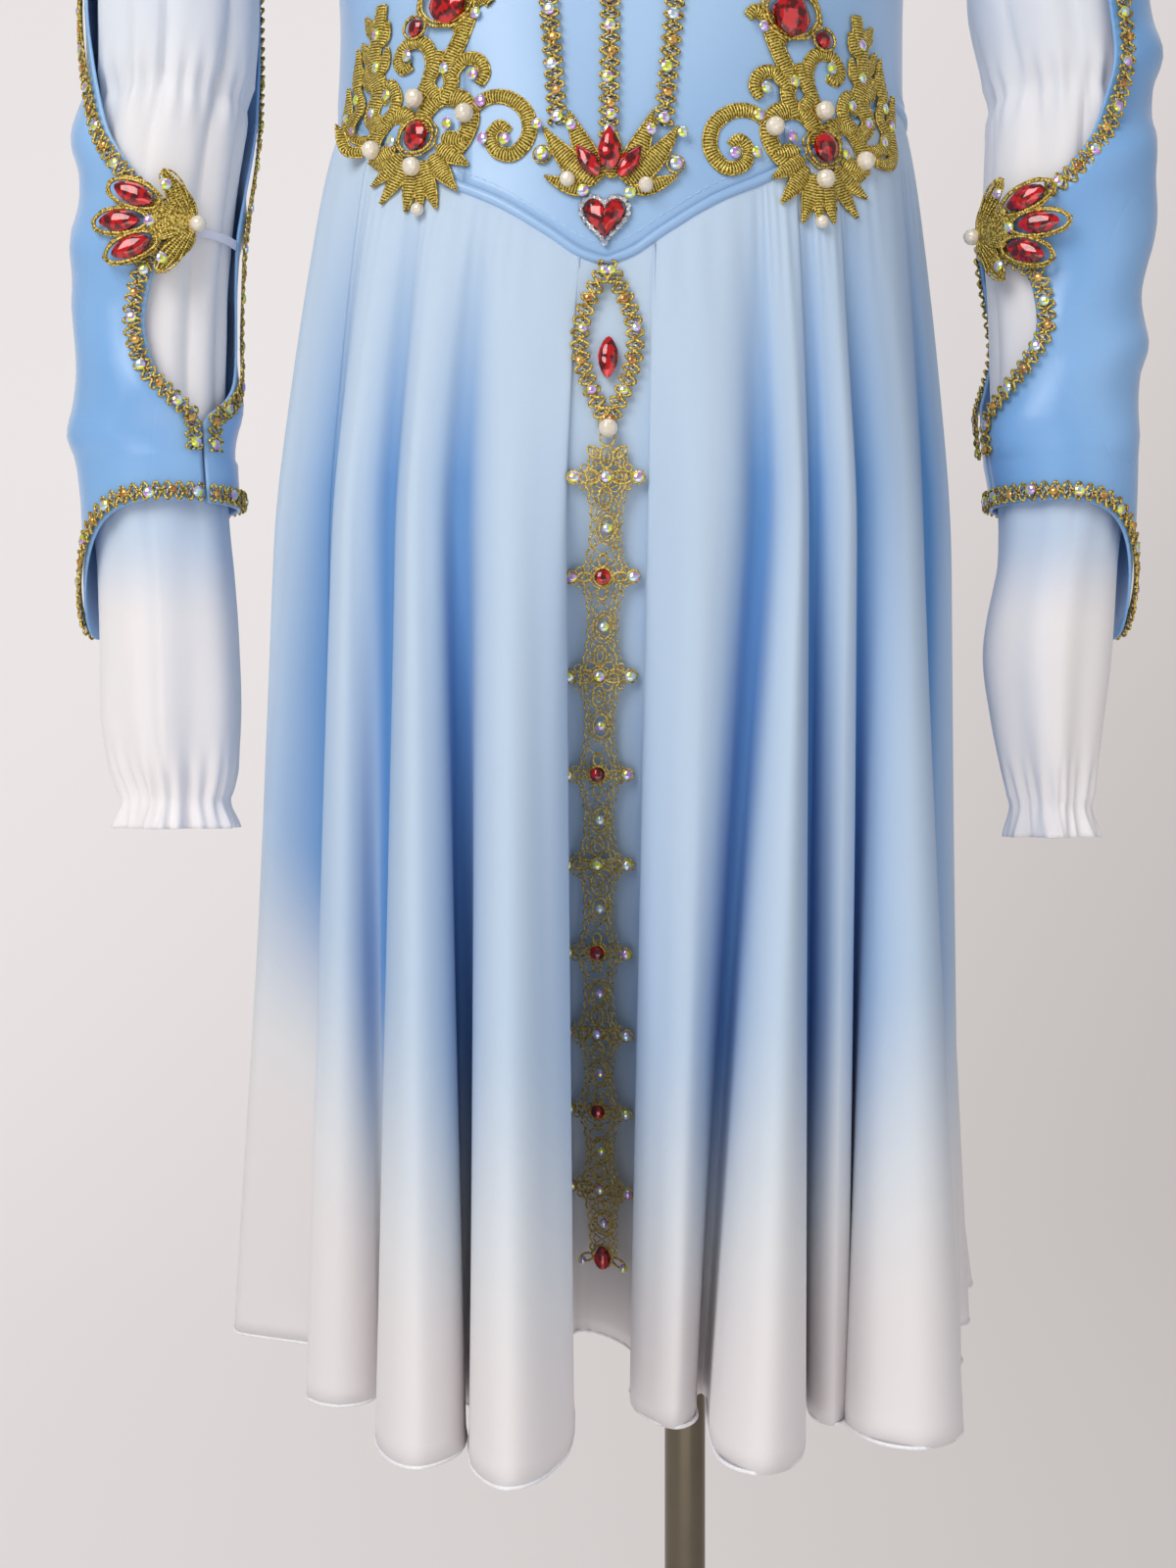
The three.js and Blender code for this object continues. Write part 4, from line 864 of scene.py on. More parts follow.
@dataclass
class SkirtForm:
    """Form of the whole skirt, read from the fold table.

    The ring is counted in stations, seven a fold; a whole number of stations is one corner of the frame's
    own panels, and smooth curves run between them.
    """

    hips: Point = field(init=False)
    lifts: Point = field(init=False)
    hems: Point = field(init=False)
    top: Point = field(init=False)

    def __post_init__(self) -> None:
        """Works the stations out."""
        rows = []
        for k, fold in enumerate(FOLDS):
            before, after = FOLDS[k - 1], FOLDS[(k + 1) % len(FOLDS)]
            hip_before = before["gap_hip"] - (360 if before["gap_hip"] > fold["hip"] else 0)
            tip = np.array((fold["x"], fold["y"]), dtype=float)
            gap = np.array((fold["gap_x"], fold["gap_y"]), dtype=float)
            root = (np.array((before["gap_x"], before["gap_y"])) + gap) / 2
            up = tip - root
            across = unit(np.array((-up[1], up[0])))
            for height, share, turn, lift in FOLD_SHAPE:
                reach = fold["hip"] - hip_before if turn < 0 else fold["gap_hip"] - fold["hip"]
                hem = root + up * height + across * share * fold["width"]
                rows.append((fold["hip"] + turn * reach, lift, *hem))
            along = unit(np.array((after["x"] - fold["x"], after["y"] - fold["y"]), dtype=float))
            if fold["skew"]:
                along = np.array((1.0, fold["skew"] / fold["gap"]))
            for end in (-0.5, 0.5):
                turn = end * (8 if fold["skew"] else 2)
                rows.append((fold["gap_hip"] + turn, -1.0, *(gap + along * end * fold["gap"])))
        table = np.array(rows)
        self.hips, self.lifts, self.hems = table[:, 0], table[:, 1], table[:, 2:4]
        first, last = FRONT_START, FRONT_STOP + len(table)
        self.top = self.grid(spread(170, first, last), spread(40, Level.SEAM.value, 0.5)).reshape(-1, 3)

    def smooth(self, values: Point, s: float, turn: float = 0.0) -> Point:
        """Reads a column of the stations on a smooth closed curve.

        Args:
            values: one row a station.
            s: place on the ring, in stations.
            turn: what the values grow by in a whole round.

        Returns:
            The value there.
        """
        count = len(values)
        i = math.floor(s)
        f = s - i
        return spline([values[(i + k) % count] + turn * ((i + k) // count) for k in (-1, 0, 1, 2)], f)

    def column(self, s: float) -> tuple[Point, Point, Point, float]:
        """Seam point, hip point and hem point at a place on the ring, and the fold's lift there."""
        hip = float(self.smooth(self.hips, s, 360.0))
        lift = float(self.smooth(self.lifts, s))
        hem = self.smooth(self.hems, s)
        degrees = (hip + 180) % 360 - 180
        side, deep = (rounded(f(math.radians(degrees))) for f in (math.sin, math.cos))
        fold = lift * HIP_FOLD
        depth = (HIP_FRONT if deep > 0 else HIP_BACK) + fold
        ring = np.array((HIP_CENTRE + (HIP_HALF + fold) * side, -depth * deep, HIP_Z))
        return torso_point(degrees, seam_z(degrees) - 0.8, OUTER - 0.4), ring, np.array((*hem, HEM_Z)), lift

    def grid(self, places: Sequence[float], levels: Sequence[float]) -> Point:
        """Points of the skirt: a row for each level, a column for each place on the ring."""
        top, ring, hem = (np.array(rows) for rows in list(zip(*(self.column(s) for s in places)))[:3])
        rows = []
        for level in levels:
            if level >= Level.HIP.value:
                rows.append(ring + (hem - ring) * (level - Level.HIP.value))
                continue
            row = top + (ring - top) * level ** 0.72
            row[:, 2] = top[:, 2] + (HIP_Z - top[:, 2]) * level
            rows.append(row)
        return np.array(rows)

    def over_seam(self, x: float, z: float, out: float) -> Point:
        """Point on the front, over the bodice or the skirt's top, that also clears the piping between."""
        near = SEAM_READ(abs(x - POINT_X)) - z
        turn = front_angle(x, z)
        body = torso_point(turn, z, OUTER)
        away = unit(torso_point(turn, z, OUTER + 8) - body)
        if near > 0:
            gaps = (self.top[:, 0] - x) ** 2 + (self.top[:, 2] - z) ** 2
            close = np.argpartition(gaps, 6)[:6]
            weights = 1 / (gaps[close] + 0.4)
            skirt = float((self.top[close, 1] * weights).sum() / weights.sum())
            body = np.array((x, lerp(body[1], skirt, clamp(near / 5, 0, 1)), z))
        return body + away * (out + 1.5 * bell(near, 0, 6))

    def hollow(self, x: float, z: float, out: float) -> Point:
        """Point on the centre-front hollow at a width and height, moved to the front."""
        top = seam_z(0)
        level = (top - z) / (top - HIP_Z) if z >= HIP_Z else 1 + (HIP_Z - z) / (HIP_Z - HEM_Z)
        last = len(self.hips)
        left, right = self.grid((last - 2.0, last - 1.0), (level,))[0]
        f = (x - left[0]) / (right[0] - left[0])
        return np.array((x, lerp(left[1], right[1], f) - out, z))


@dataclass
class Skirt:
    """Chiffon skirt in two panels, gathered on the waist seam in flared folds."""

    form: SkirtForm
    thickness: float = 1.0
    step: int = 6
    rows: int = 70
    top_rows: int = 22
    ripple: float = 1.3
    tide_half: float = 82.0
    tide_degrees: tuple = (-180, -90, -62, -45, -28, -12, 4, 24, 48, 90, 180)
    tide_heights: tuple = (615, 666, 664, 620, 588, 578, 572, 588, 600, 606, 615)

    def levels(self) -> list[float]:
        """Row heights, closer together at the seam."""
        top = [(i / self.top_rows) ** 1.35 for i in range(self.top_rows)]
        return top + spread(self.rows - self.top_rows, Level.HIP.value, Level.HEM.value)

    def panel(self, name: str, first: float, last: float) -> None:
        """One panel of cloth.

        Args:
            name: of the piece and of the node that it stands for.
            first: place on the ring where it starts.
            last: place where it ends.
        """
        places = spread(int((last - first) * self.step) + 1, first, last)
        places[0] += 0.02
        places[-1] -= 0.02
        levels = self.levels()
        grid = self.form.grid(places, levels)
        relax(grid, 6)
        grid = grid + grid_normals(grid, False, SKIRT_AXIS) * self.relief(places, levels)[..., None]
        build = Build()
        build.shell(grid, self.thickness, centre=SKIRT_AXIS)
        made = build.make(name + LOOK)
        self.tint(made, grid, places, levels)
        settle(made, "skirt", "skirt_chiffon", name)
        width, length = spans(grid, 1)[-1], spans(grid, 0)[len(places) // 2]
        state_cut(grid, width, length)

    def relief(self, places: Sequence[float], levels: Sequence[float]) -> Point:
        """How far fine ripples lift the cloth at each row and column."""
        lift = np.zeros((len(levels), len(places)))
        for j, level in enumerate(levels):
            gather = 0.22 * bell(level, 0.16, 0.2) * clamp(level / 0.04, 0, 1)
            fall = clamp((level - 0.25) / 1.1, 0, 1) * clamp(level / 0.1, 0, 1)
            for i, s in enumerate(places):
                drift = 0.35 * math.sin(2.1 * level + s * 0.37)
                fine = math.sin(math.pi * (s + drift)) * 0.55 + math.sin(s * 1.31 - 1.6 * level)
                lift[j, i] = self.ripple * fall * fine * 0.55
                lift[j, i] += gather * math.sin(s * 5.2 + 2.0 * math.sin(s * 0.9))
        return lift

    def tint(self, piece: Piece, grid: Point, places: Sequence, levels: Sequence) -> None:
        """Writes how far the white dip has risen, and how much painted shade darkens each point."""
        count = len(self.form.hips)
        tide = np.zeros(grid.shape[:2])
        valley = np.zeros(grid.shape[:2])
        hip = [(float(self.form.smooth(self.form.hips, s, 360.0)) + 180) % 360 - 180 for s in places]
        lift = [float(self.form.smooth(self.form.lifts, s % count)) for s in places]
        middle = curve(self.tide_degrees, self.tide_heights)
        for i in range(len(places)):
            line = middle(hip[i]) + 7 * lift[i] + 5 * math.sin(places[i] * 0.8)
            hollow = clamp(0.5 - 0.5 * lift[i], 0, 1)
            for j, level in enumerate(levels):
                x, _, z = grid[j, i]
                tide[j, i] = clamp((line + self.tide_half - z) / (2 * self.tide_half), 0, 1)
                # painted shade, deepest in the fold hollows, where chiffon in layers also looks a deeper
                # blue, and lighter along the lace at the centre front
                lace = bell(x - POINT_X, 0, 30) * bell(hip[i], 0, 60)
                valley[j, i] = hollow * clamp(level / 0.95, 0.1, 1) * (1 - 0.85 * lace)
                # painted shade, darker towards the right side
                valley[j, i] += 0.22 * clamp((x - 40) / 160, 0, 1) * clamp(level / 0.2, 0, 1)
        for name, values in (("tide", tide), ("valley", valley)):
            layer = piece.data.attributes.new(name, "FLOAT", "POINT")
            layer.data.foreach_set("value", np.tile(values.ravel(), 2).astype(np.float32))

    def hem(self) -> None:
        """Rolled edge all round the hem."""
        count = len(self.form.hips)
        places = [i / 5 for i in range(count * 5)]
        levels = self.levels()[-8:]
        grid = self.form.grid(places, levels)
        normals = grid_normals(grid, True, SKIRT_AXIS)
        line = grid[-1] + normals[-1] * (self.relief(places, levels)[-1][:, None] - 0.3)
        build = Build()
        build.cord(line + np.array((0, 0, 0.4)), 0.85, 6, closed=True, normals=normals[-1])
        settle(build.make("hem_roll"), "hem", "skirt_chiffon")

    def make(self) -> None:
        """Builds both panels and the hem."""
        self.panel("skirt_front", FRONT_START, FRONT_STOP + len(self.form.hips))
        self.panel("skirt_back", FRONT_STOP, FRONT_START)
        self.hem()


# ---------------------------------------------------------------- bodice
def princess(z: float) -> float:
    """Angle of the princess seam from the front at a height."""
    return front_angle(PRINCESS_HALF + clamp(z - WAIST_Z, 0, 290) * 0.031, z) - front_angle(0, z)


def armhole_cut(z: float, depth: float) -> float:
    """How many degrees the armhole cuts in from the side at a height."""
    share = (z - ARMHOLE_Z) / ARMHOLE_HALF
    return 0.0 if abs(share) >= 1 else depth * math.sqrt(1 - share * share)


def front_neck(z: float) -> float:
    """Inner edge of a front side panel: the princess seam, then the strap's edge."""
    return princess(z) if z <= NECK_Z else front_angle(NECK_HALF + 2.5, z)


def back_neck(z: float) -> float:
    """Inner edge of a back panel: the centre-back seam, then the neckline."""
    if z <= BACK_NECK_Z:
        return 180.0
    dip = clamp((z - BACK_NECK_Z) / (PANEL_TOP - BACK_NECK_Z), 0, 1)
    return 180 - front_angle(lerp(20, NECK_HALF + 2.5, math.sqrt(dip)), z)


@dataclass
class Bodice:
    """Princess-line bodice in five satin panels with a shallow V at the waist."""

    thickness: float = 1.2
    columns: int = 26
    lower_rows: int = 26
    upper_step: float = 6.5
    gap: float = 0.0006
    side_gap: float = 0.06
    stitch_rise: float = 6.6
    stitch_pitch: float = 1.45

    def heights(self, top: float) -> list[float]:
        """Row heights: below the waist as shares counted up from the seam, above it in millimetres."""
        count = int((top - LOWER_TOP) / self.upper_step)
        return spread(self.lower_rows, 0.0, 1.0) + spread(count, LOWER_TOP + self.upper_step, top)

    def point(self, edge: Callable[[float], float], height: float) -> Point:
        """Point of a panel's outer face on a line given in degrees at each height."""
        bottom = seam_z(edge(WAIST_Z)) + 1.0
        z = height if height > 1.0 else lerp(bottom, LOWER_TOP, height)
        degrees = edge(z)
        drag = 0.55 * math.sin(degrees * 0.21 + z * 0.06) * bell(z, 1035, 40) * clamp((z - bottom) / 12, 0, 1)
        return torso_point(degrees, z, OUTER + drag)

    def panel(self, name: str, top: float, start: Callable, end: Callable) -> None:
        """One panel.

        Args:
            name: of the piece and its node.
            top: height that it ends at.
            start: its first edge, degrees by height.
            end: its last edge.
        """
        rows = []
        for height in self.heights(top):
            row = []
            for i in range(self.columns + 1):
                share = lerp(self.gap, 1 - self.gap, i / self.columns)
                row.append(self.point(lambda z, f=share: lerp(start(z), end(z), f), height))
            rows.append(row)
        grid = np.array(rows)
        build = Build()
        build.shell(grid, self.thickness, centre=BODICE_AXIS)
        made = settle(build.make(name + LOOK), "satin", "satin", name)
        width, length = spans(grid, 1).max(), spans(grid, 0)[self.columns // 2]
        state_cut(grid, width, length)

    def make(self) -> None:
        """Builds the five panels, the piping and its topstitching."""
        self.panel("bodice_front_centre", NECK_Z, lambda z: -princess(z), princess)
        for name, side in (("left", -1), ("right", 1)):
            self.panel(f"bodice_front_side_{name}", PANEL_TOP, lambda z, s=side: s * front_neck(z),
                       lambda z, s=side: s * (90 - self.side_gap - armhole_cut(z, ARMHOLE_FRONT)))
            self.panel(f"bodice_back_{name}", PANEL_TOP,
                       lambda z, s=side: s * (90 + self.side_gap + armhole_cut(z, ARMHOLE_BACK)),
                       lambda z, s=side: s * back_neck(z))
        self.piping()
        self.stitching()

    def piping(self) -> None:
        """Satin cord in the waist seam."""
        build = Build()
        degrees = spread(361, -180, 180)[:-1]
        line = np.array([torso_point(a, seam_z(a), 1.8) for a in degrees])
        away = np.array([torso_point(a, seam_z(a), 9.0) for a in degrees]) - line
        build.cord(line, 2.1, 12, closed=True, normals=unit(away))
        settle(build.make("waist_piping" + LOOK), "satin", "satin", "waist_piping")

    def stitching(self) -> None:
        """Topstitching above the piping."""
        build = Build()
        degrees = -180.0
        while degrees < 180:
            z = seam_z(degrees) + self.stitch_rise
            away = torso_point(degrees, z, OUTER + 5) - torso_point(degrees, z, OUTER)
            ends = [torso_point(degrees + a, seam_z(degrees + a) + self.stitch_rise, OUTER + 0.1)
                    for a in (0.0, 0.5, 1.0)]
            build.cord(np.array(ends), (0.14, 0.28, 0.14), 4, normals=np.tile(unit(away), (3, 1)))
            degrees += self.stitch_pitch
        settle(build.make("waist_topstitch", 40), "thread", "satin")


# ---------------------------------------------------------------- sleeves
def wrinkle(u: float, v: float, seed: float) -> float:
    """Soft crossing drag folds, from -1 to 1, at a place measured in folds."""
    bend = 0.9 * math.sin(u * 0.8 + seed) + 0.5 * math.sin(v * 1.3 + 2 * seed)
    first = math.sin(2.2 * v + 1.1 * u + bend * 1.4 + seed * 3)
    second = math.sin(3.4 * v - 1.7 * u + bend + seed)
    return 0.62 * math.copysign(abs(first) ** 1.4, first) + 0.38 * second


class Tube:
    """Reading of one arm's tables as an upright, flattened tube."""

    def __init__(self, name: str) -> None:
        """Joins the cap's rows to the arm's."""
        self.name = name
        self.side = -1 if name == "left" else 1
        self.letter = name[0].upper()
        centre = TORSO_READ["centre"](UNDERARM_Z) * self.side
        rows = [dict(row, inX=row["inX"] + centre, outX=row["outX"] + centre) for row in CAP]
        rows += [dict(zip(LEVEL_COLUMNS, row)) for row in ARMS[name]]
        self.arm = self.reader(rows)
        self.wrist_rows = [dict(zip(WRIST_COLUMNS, row)) for row in WRISTS[name]]
        self.wrist = self.reader(self.wrist_rows)
        self.wave = curve([row["t"] for row in self.wrist_rows], [row["wave"] for row in self.wrist_rows])
        self.front = curve(SLASH["t"], SLASH[f"front{self.letter}"])
        self.inner = curve(SLASH["t"], SLASH[f"inner{self.letter}"])

    @staticmethod
    def reader(rows: list[dict]) -> dict[str, Callable[[float], float]]:
        """Curves of the columns that a tube's point needs."""
        t = [row["t"] for row in rows]
        read = {key: curve(t, [row[key] for row in rows]) for key in ("inX", "outX", "depth")}
        for key in ("inZ", "outZ"):
            read[key] = curve(t, [row.get(key, row["t"]) for row in rows])
        return read

    def point(self, t: float, degrees: float, out: float, wrist: bool = False) -> Point:
        """Point of the tube at a place down the arm and degrees from the front, outwards counted up."""
        read = self.wrist if wrist else self.arm
        outward = math.sin(math.radians(degrees))
        share = (1 + outward) / 2
        in_x, out_x, in_z, out_z = (read[key](t) for key in ("inX", "outX", "inZ", "outZ"))
        level = math.hypot(out_x - in_x, out_z - in_z)
        push = out * outward / level
        y = -(read["depth"](t) + out) * math.cos(math.radians(degrees))
        x = lerp(in_x, out_x, share) + push * (out_x - in_x)
        return np.array((self.side * x, y, lerp(in_z, out_z, share) + push * (out_z - in_z)))

    def armhole(self, degrees: float, inset: float, tuck: float = 0.0) -> Point:
        """Point of the loop just inside the armhole, tucked under the shoulder seam at its top."""
        up = math.sin(math.radians(degrees))
        under = tuck * max(0.0, up) ** 4
        z = ARMHOLE_Z + (ARMHOLE_HALF - inset + 5.0 * under) * up
        to_front = math.cos(math.radians(degrees)) > 0
        cut = (ARMHOLE_FRONT if to_front else ARMHOLE_BACK) - inset * 0.5
        turn = 90 + (-1 if to_front else 1) * cut * abs(math.cos(math.radians(degrees)))
        return torso_point(self.side * turn, z, EASE + CLOTH / 2 - (CLOTH / 2 + 0.3) * under)

    def cuff_z(self, degrees: float) -> float:
        """Lower edge of the satin cuff, with its point on the outer side."""
        turn = (degrees - CUFF_AT + 540) % 360 - 180
        return CUFF_Z - CUFF_DROP * math.exp(-((turn / CUFF_SPREAD) ** 2))


@dataclass
class Sleeve:
    """Satin oversleeve, slashed open over a gathered chiffon undersleeve."""

    tube: Tube
    satin_thickness: float = 1.2
    chiffon_thickness: float = 0.8
    over_columns: int = 120
    under_columns: int = 132
    seam_rows: tuple = (61, 89)
    drag: float = 3.1
    satin_seeds: dict = field(default_factory=lambda: {"left": 1.3, "right": 2.9})
    chiffon_seeds: dict = field(default_factory=lambda: {"left": 0.4, "right": 1.7})

    def over(self) -> None:
        """Satin oversleeve with drag folds."""
        tube = self.tube
        cap = float(CAP[0]["t"])
        levels = [cap - 7 * i for i in range(18)] + spread(76, 1214, OVER_END)
        shares = spread(self.over_columns + 1, 0, 1)
        seed = self.satin_seeds[tube.name]

        def column(t: float, share: float) -> float:
            """Degrees of a column at a height."""
            return lerp(tube.front(t), tube.inner(t) + 360, share)

        def folds(t: float, degrees: float, share: float) -> float:
            """How far drag folds lift the satin."""
            edge = clamp(min(share, 1 - share) / 0.07, 0, 1)
            if t > SLASH["t"][0]:
                edge = 1.0
            strength = clamp((cap - t) / 30, 0, 1) * clamp((t - 880) / 20, 0, 1) * edge
            strength *= lerp(0.35, 1.0, clamp((UNDERARM_Z - t) / 60, 0, 1))
            lift = (self.drag + 1.6 * bell(t, 1045, 45)) * strength * wrinkle(degrees / 42, t / 24, seed)
            return lift if lift > 0 else 0.6 * lift

        rows = [[tube.armhole(column(cap, f), ARMHOLE_ROOM, tuck) for f in shares] for tuck in (1.0, 0.0)]
        for t in levels:
            rows.append([tube.point(t, column(t, f), CLOTH + folds(t, column(t, f), f)) for f in shares])
        ends = [column(OVER_END, f) for f in shares]
        for k in range(1, 13):
            rows.append([tube.point(lerp(OVER_END, tube.cuff_z(a), k / 12), a, CLOTH) for a in ends])
        self.sheet(f"oversleeve_{tube.name}", np.array(rows), "sleeve_satin", "satin", False,
                   self.satin_thickness)

    def under(self) -> None:
        """Chiffon undersleeve with soft folds, a wrist gather and a ruffle."""
        tube = self.tube
        puff = curve(PUFF["t"], PUFF["out"])
        turns = [360 * i / self.under_columns for i in range(self.under_columns)]
        seed = self.chiffon_seeds[tube.name]
        rows = []
        for t in spread(72, 1256, 880):
            near, tight = bell(t, GATHER_Z, 44), 1.1 * bell(t, GATHER_Z, 12)
            shift = 30 * math.tanh((t - GATHER_Z) / 12) + 9 * math.sin(t / 31)
            row = []
            for a in turns:
                turn = (a + 180) % 360 - 180
                free = clamp(min(turn - tube.inner(t), tube.front(t) - turn) / 12, 0, 1)
                phase = a * 4.5 + 34 * math.sin(a / 23 + seed) + shift
                lobe = 2 * abs(math.sin(math.radians(phase))) ** 0.7 - 1.15
                soft = lobe * lerp(0.9, 1.3 + 1.1 * near, free)
                soft += 0.4 * math.sin(math.radians(a * 11) + seed + t / 38)
                pinch = tight * math.sin(math.radians(a * 24) + seed + 0.6 * math.sin(a / 9))
                row.append(tube.point(t, a, puff(t) - 0.6 + soft * clamp((1230 - t) / 60, 0, 1) + pinch))
            rows.append(row)
        last = tube.wrist_rows[-1]["t"]
        for t in spread(56, tube.wrist_rows[0]["t"], last):
            wave, crimp, frill = tube.wave(t), bell(t, last + 14, 16), bell(t, last, 9)
            row = []
            for a in turns:
                fine = math.sin(math.radians(a * 5) + seed + 0.7 * math.sin(a / 25)) * wave * 1.2
                fine += math.sin(math.radians(a * 22) + 2 * seed + math.sin(a / 12)) * wave * 0.8 * crimp
                fine += 1.5 * frill * (math.sin(math.radians(a * 17) + 1.5 * math.sin(a / 21 + seed)) + 0.3)
                row.append(tube.point(t, a, fine, True))
            rows.append(row)
        grid = np.array(rows)
        first, last = self.seam_rows
        relax(grid[first:last], 4)
        self.sheet(f"undersleeve_{tube.name}", grid, "chiffon", "sleeve_chiffon", True,
                   self.chiffon_thickness)

    def sheet(self, name: str, grid: Point, finish: str, slot: str, around: bool, thickness: float) -> None:
        """Makes one piece of a sleeve and works out the share of its cut."""
        build = Build()
        build.shell(grid, thickness, around, (self.tube.side * SLEEVE_X, 0.0))
        made = settle(build.make(name + LOOK), finish, slot, name)
        closed = np.concatenate([grid, grid[:, :1]], axis=1) if around else grid
        state_cut(closed, spans(closed, 1).max(), spans(closed, 0).max())

    def make(self) -> None:
        """Builds both layers."""
        self.over()
        self.under()


# ---------------------------------------------------------------- stones
STONE_SLOTS = {"red": "red_stone", "pearl": "pearl", **dict.fromkeys(("ab", "amber", "clear"), "ab_stone")}


class Cut(Enum):
    """Shapes of stone and pearl."""

    ROUND = "round"
    DROP = "drop"
    MARQUISE = "marquise"
    HEART = "heart"
    PEARL = "pearl"


class Jeweller:
    """Models each cut once, for settings to copy.

    A master is one unit in radius, lies on z = 0 and faces +Z, with +Y as its length.
    """

    masters: dict[Cut, bpy.types.Mesh] = {}

    def work(self) -> None:
        """Models every master."""
        self.masters.update((cut, self.model(cut)) for cut in Cut)

    def model(self, cut: Cut) -> bpy.types.Mesh:
        """Models one master in edit mode and keeps only its mesh."""
        if cut is Cut.PEARL:
            bpy.ops.mesh.primitive_uv_sphere_add(segments=14, ring_count=8, radius=1.0, location=(0, 0, 0.55))
        else:
            bpy.ops.mesh.primitive_cylinder_add(vertices=16, radius=1.0, depth=0.34, location=(0, 0, 0.17))
        made = bpy.context.object
        bpy.ops.object.transform_apply(location=True, rotation=False, scale=False)
        if cut is not Cut.PEARL:
            self.facet(made)
            self.shape(made, cut)
            shade(made, 12)
        else:
            shade(made, 60)
        mesh = made.data
        bpy.data.objects.remove(made)
        return mesh

    @staticmethod
    def facet(made: Piece) -> None:
        """Steps the top in to a crown and a table."""
        edit(made, "polygons", lambda face: face.normal.z > 0.9 and face.center.z > 0.2)
        bpy.ops.mesh.inset(thickness=0.26, depth=0.22)
        bpy.ops.mesh.inset(thickness=0.22, depth=0.1)
        bpy.ops.mesh.poke(offset=0.03)
        bpy.ops.object.mode_set(mode="OBJECT")

    @staticmethod
    def shape(made: Piece, cut: Cut) -> None:
        """Draws the round cut out to a drop, a marquise or a heart."""
        for point in made.data.vertices:
            x, y = point.co.x, point.co.y
            if cut is Cut.DROP:
                point.co.x = x * (1.0 - 0.42 * max(0.0, y) - 0.3 * max(0.0, y) ** 3) * 0.72
            elif cut is Cut.MARQUISE:
                point.co.x = x * 0.5 * (1.0 - 0.35 * abs(y) ** 2)
            elif cut is Cut.HEART:
                point.co.x, point.co.y = (math.hypot(x, y) * reach for reach in heart(math.atan2(x, y)))


@dataclass
class Setting:
    """Stones waiting to be set on one piece, by finish."""

    rows: dict = field(default_factory=dict)

    def add(self, finish: str, cut: Cut, at: Point, normal: Point, size: tuple, along: Point) -> None:
        """Queues one stone.

        Args:
            finish: the finish's name.
            cut: its shape.
            at: point that its back lies on, in millimetres.
            normal: the way it faces.
            size: half width, half length and height factor, in millimetres.
            along: the way its length runs.
        """
        normal = unit(np.asarray(normal, dtype=float))
        along = np.asarray(along, dtype=float)
        along = unit(along - normal * float(np.dot(along, normal)))
        across = np.cross(along, normal)
        matrix = np.column_stack([across * size[0], along * size[1], normal * size[2]])
        self.rows.setdefault(finish, []).append((cut, matrix, np.asarray(at, dtype=float)))

    def lay(self, surface: Surface, finish: str, x: float, z: float, size: tuple, out: float,
            turn: float = 90.0, cut: Cut = Cut.ROUND) -> None:
        """Queues one stone on a surface.

        Args:
            surface: point at a width, a height and a lift.
            finish: the finish's name.
            x: width that it is set at.
            z: height that it is set at.
            size: half width, half length and height factor, in millimetres.
            out: how far its back is lifted.
            turn: the way its length runs, in degrees from the right.
            cut: its shape.
        """
        at = surface(x, z, out)
        du, dv = polar(turn)
        normal = surface(x, z, 6.0) - surface(x, z, 1.0)
        self.add(finish, cut, at, normal, size, surface(x + du, z + dv, out) - at)

    def make(self, name: str) -> list[Piece]:
        """Sets the stones: one piece for each finish."""
        made = []
        for finish, rows in self.rows.items():
            build = Build()
            for cut, matrix, at in rows:
                copy = Jeweller.masters[cut].copy()
                points = np.empty(len(copy.vertices) * 3)
                copy.vertices.foreach_get("co", points)
                faces = [tuple(face.vertices) for face in copy.polygons]
                build.add(points.reshape(-1, 3) @ matrix.T + at, faces)
                bpy.data.meshes.remove(copy)
            piece = build.make(f"{name}_{finish}", 22)
            made.append(settle(piece, finish, STONE_SLOTS[finish]))
        self.rows = {}
        return made


# ---------------------------------------------------------------- gimp braid
class Ribbon:
    """Line on the cloth with the way out and the way across at each point, evenly spaced."""

    def __init__(self, points: Sequence, normals: Sequence, step: float = 0.6) -> None:
        """Spaces the points evenly along the line."""
        points, normals = np.array(points, dtype=float), np.array(normals, dtype=float)
        length = run(points)
        self.length = float(length[-1])
        self.at = np.linspace(0, self.length, max(3, int(self.length / step)))
        self.points = np.column_stack([np.interp(self.at, length, points[:, k]) for k in range(3)])
        turned = np.column_stack([np.interp(self.at, length, normals[:, k]) for k in range(3)])
        relax(self.points, 3)
        self.normals = unit(turned)
        self.along = unit(np.gradient(self.points, axis=0))
        self.across = unit(np.cross(self.along, self.normals))

    @classmethod
    def between(cls, pairs: Sequence) -> "Ribbon":
        """Ribbon through the first points of pairs, facing the second ones."""
        low, high = (np.array(ends) for ends in zip(*pairs))
        return cls(low, high - low)

    def line(self, offset: object, out: object) -> Point:
        """Points beside the middle by an offset and above the cloth by a height."""
        offset = np.broadcast_to(np.asarray(offset, dtype=float), self.at.shape)
        out = np.broadcast_to(np.asarray(out, dtype=float), self.at.shape)
        return self.points + self.across * offset[:, None] + self.normals * out[:, None]

    def place(self, s: float, offset: float, out: float) -> tuple[Point, Point, Point]:
        """Point, way out and way along at a distance down the line."""
        i = int(clamp(round(s / self.length * (len(self.at) - 1)), 0, len(self.at) - 1))
        point = self.points[i] + self.across[i] * offset + self.normals[i] * out
        return point, self.normals[i], self.along[i]


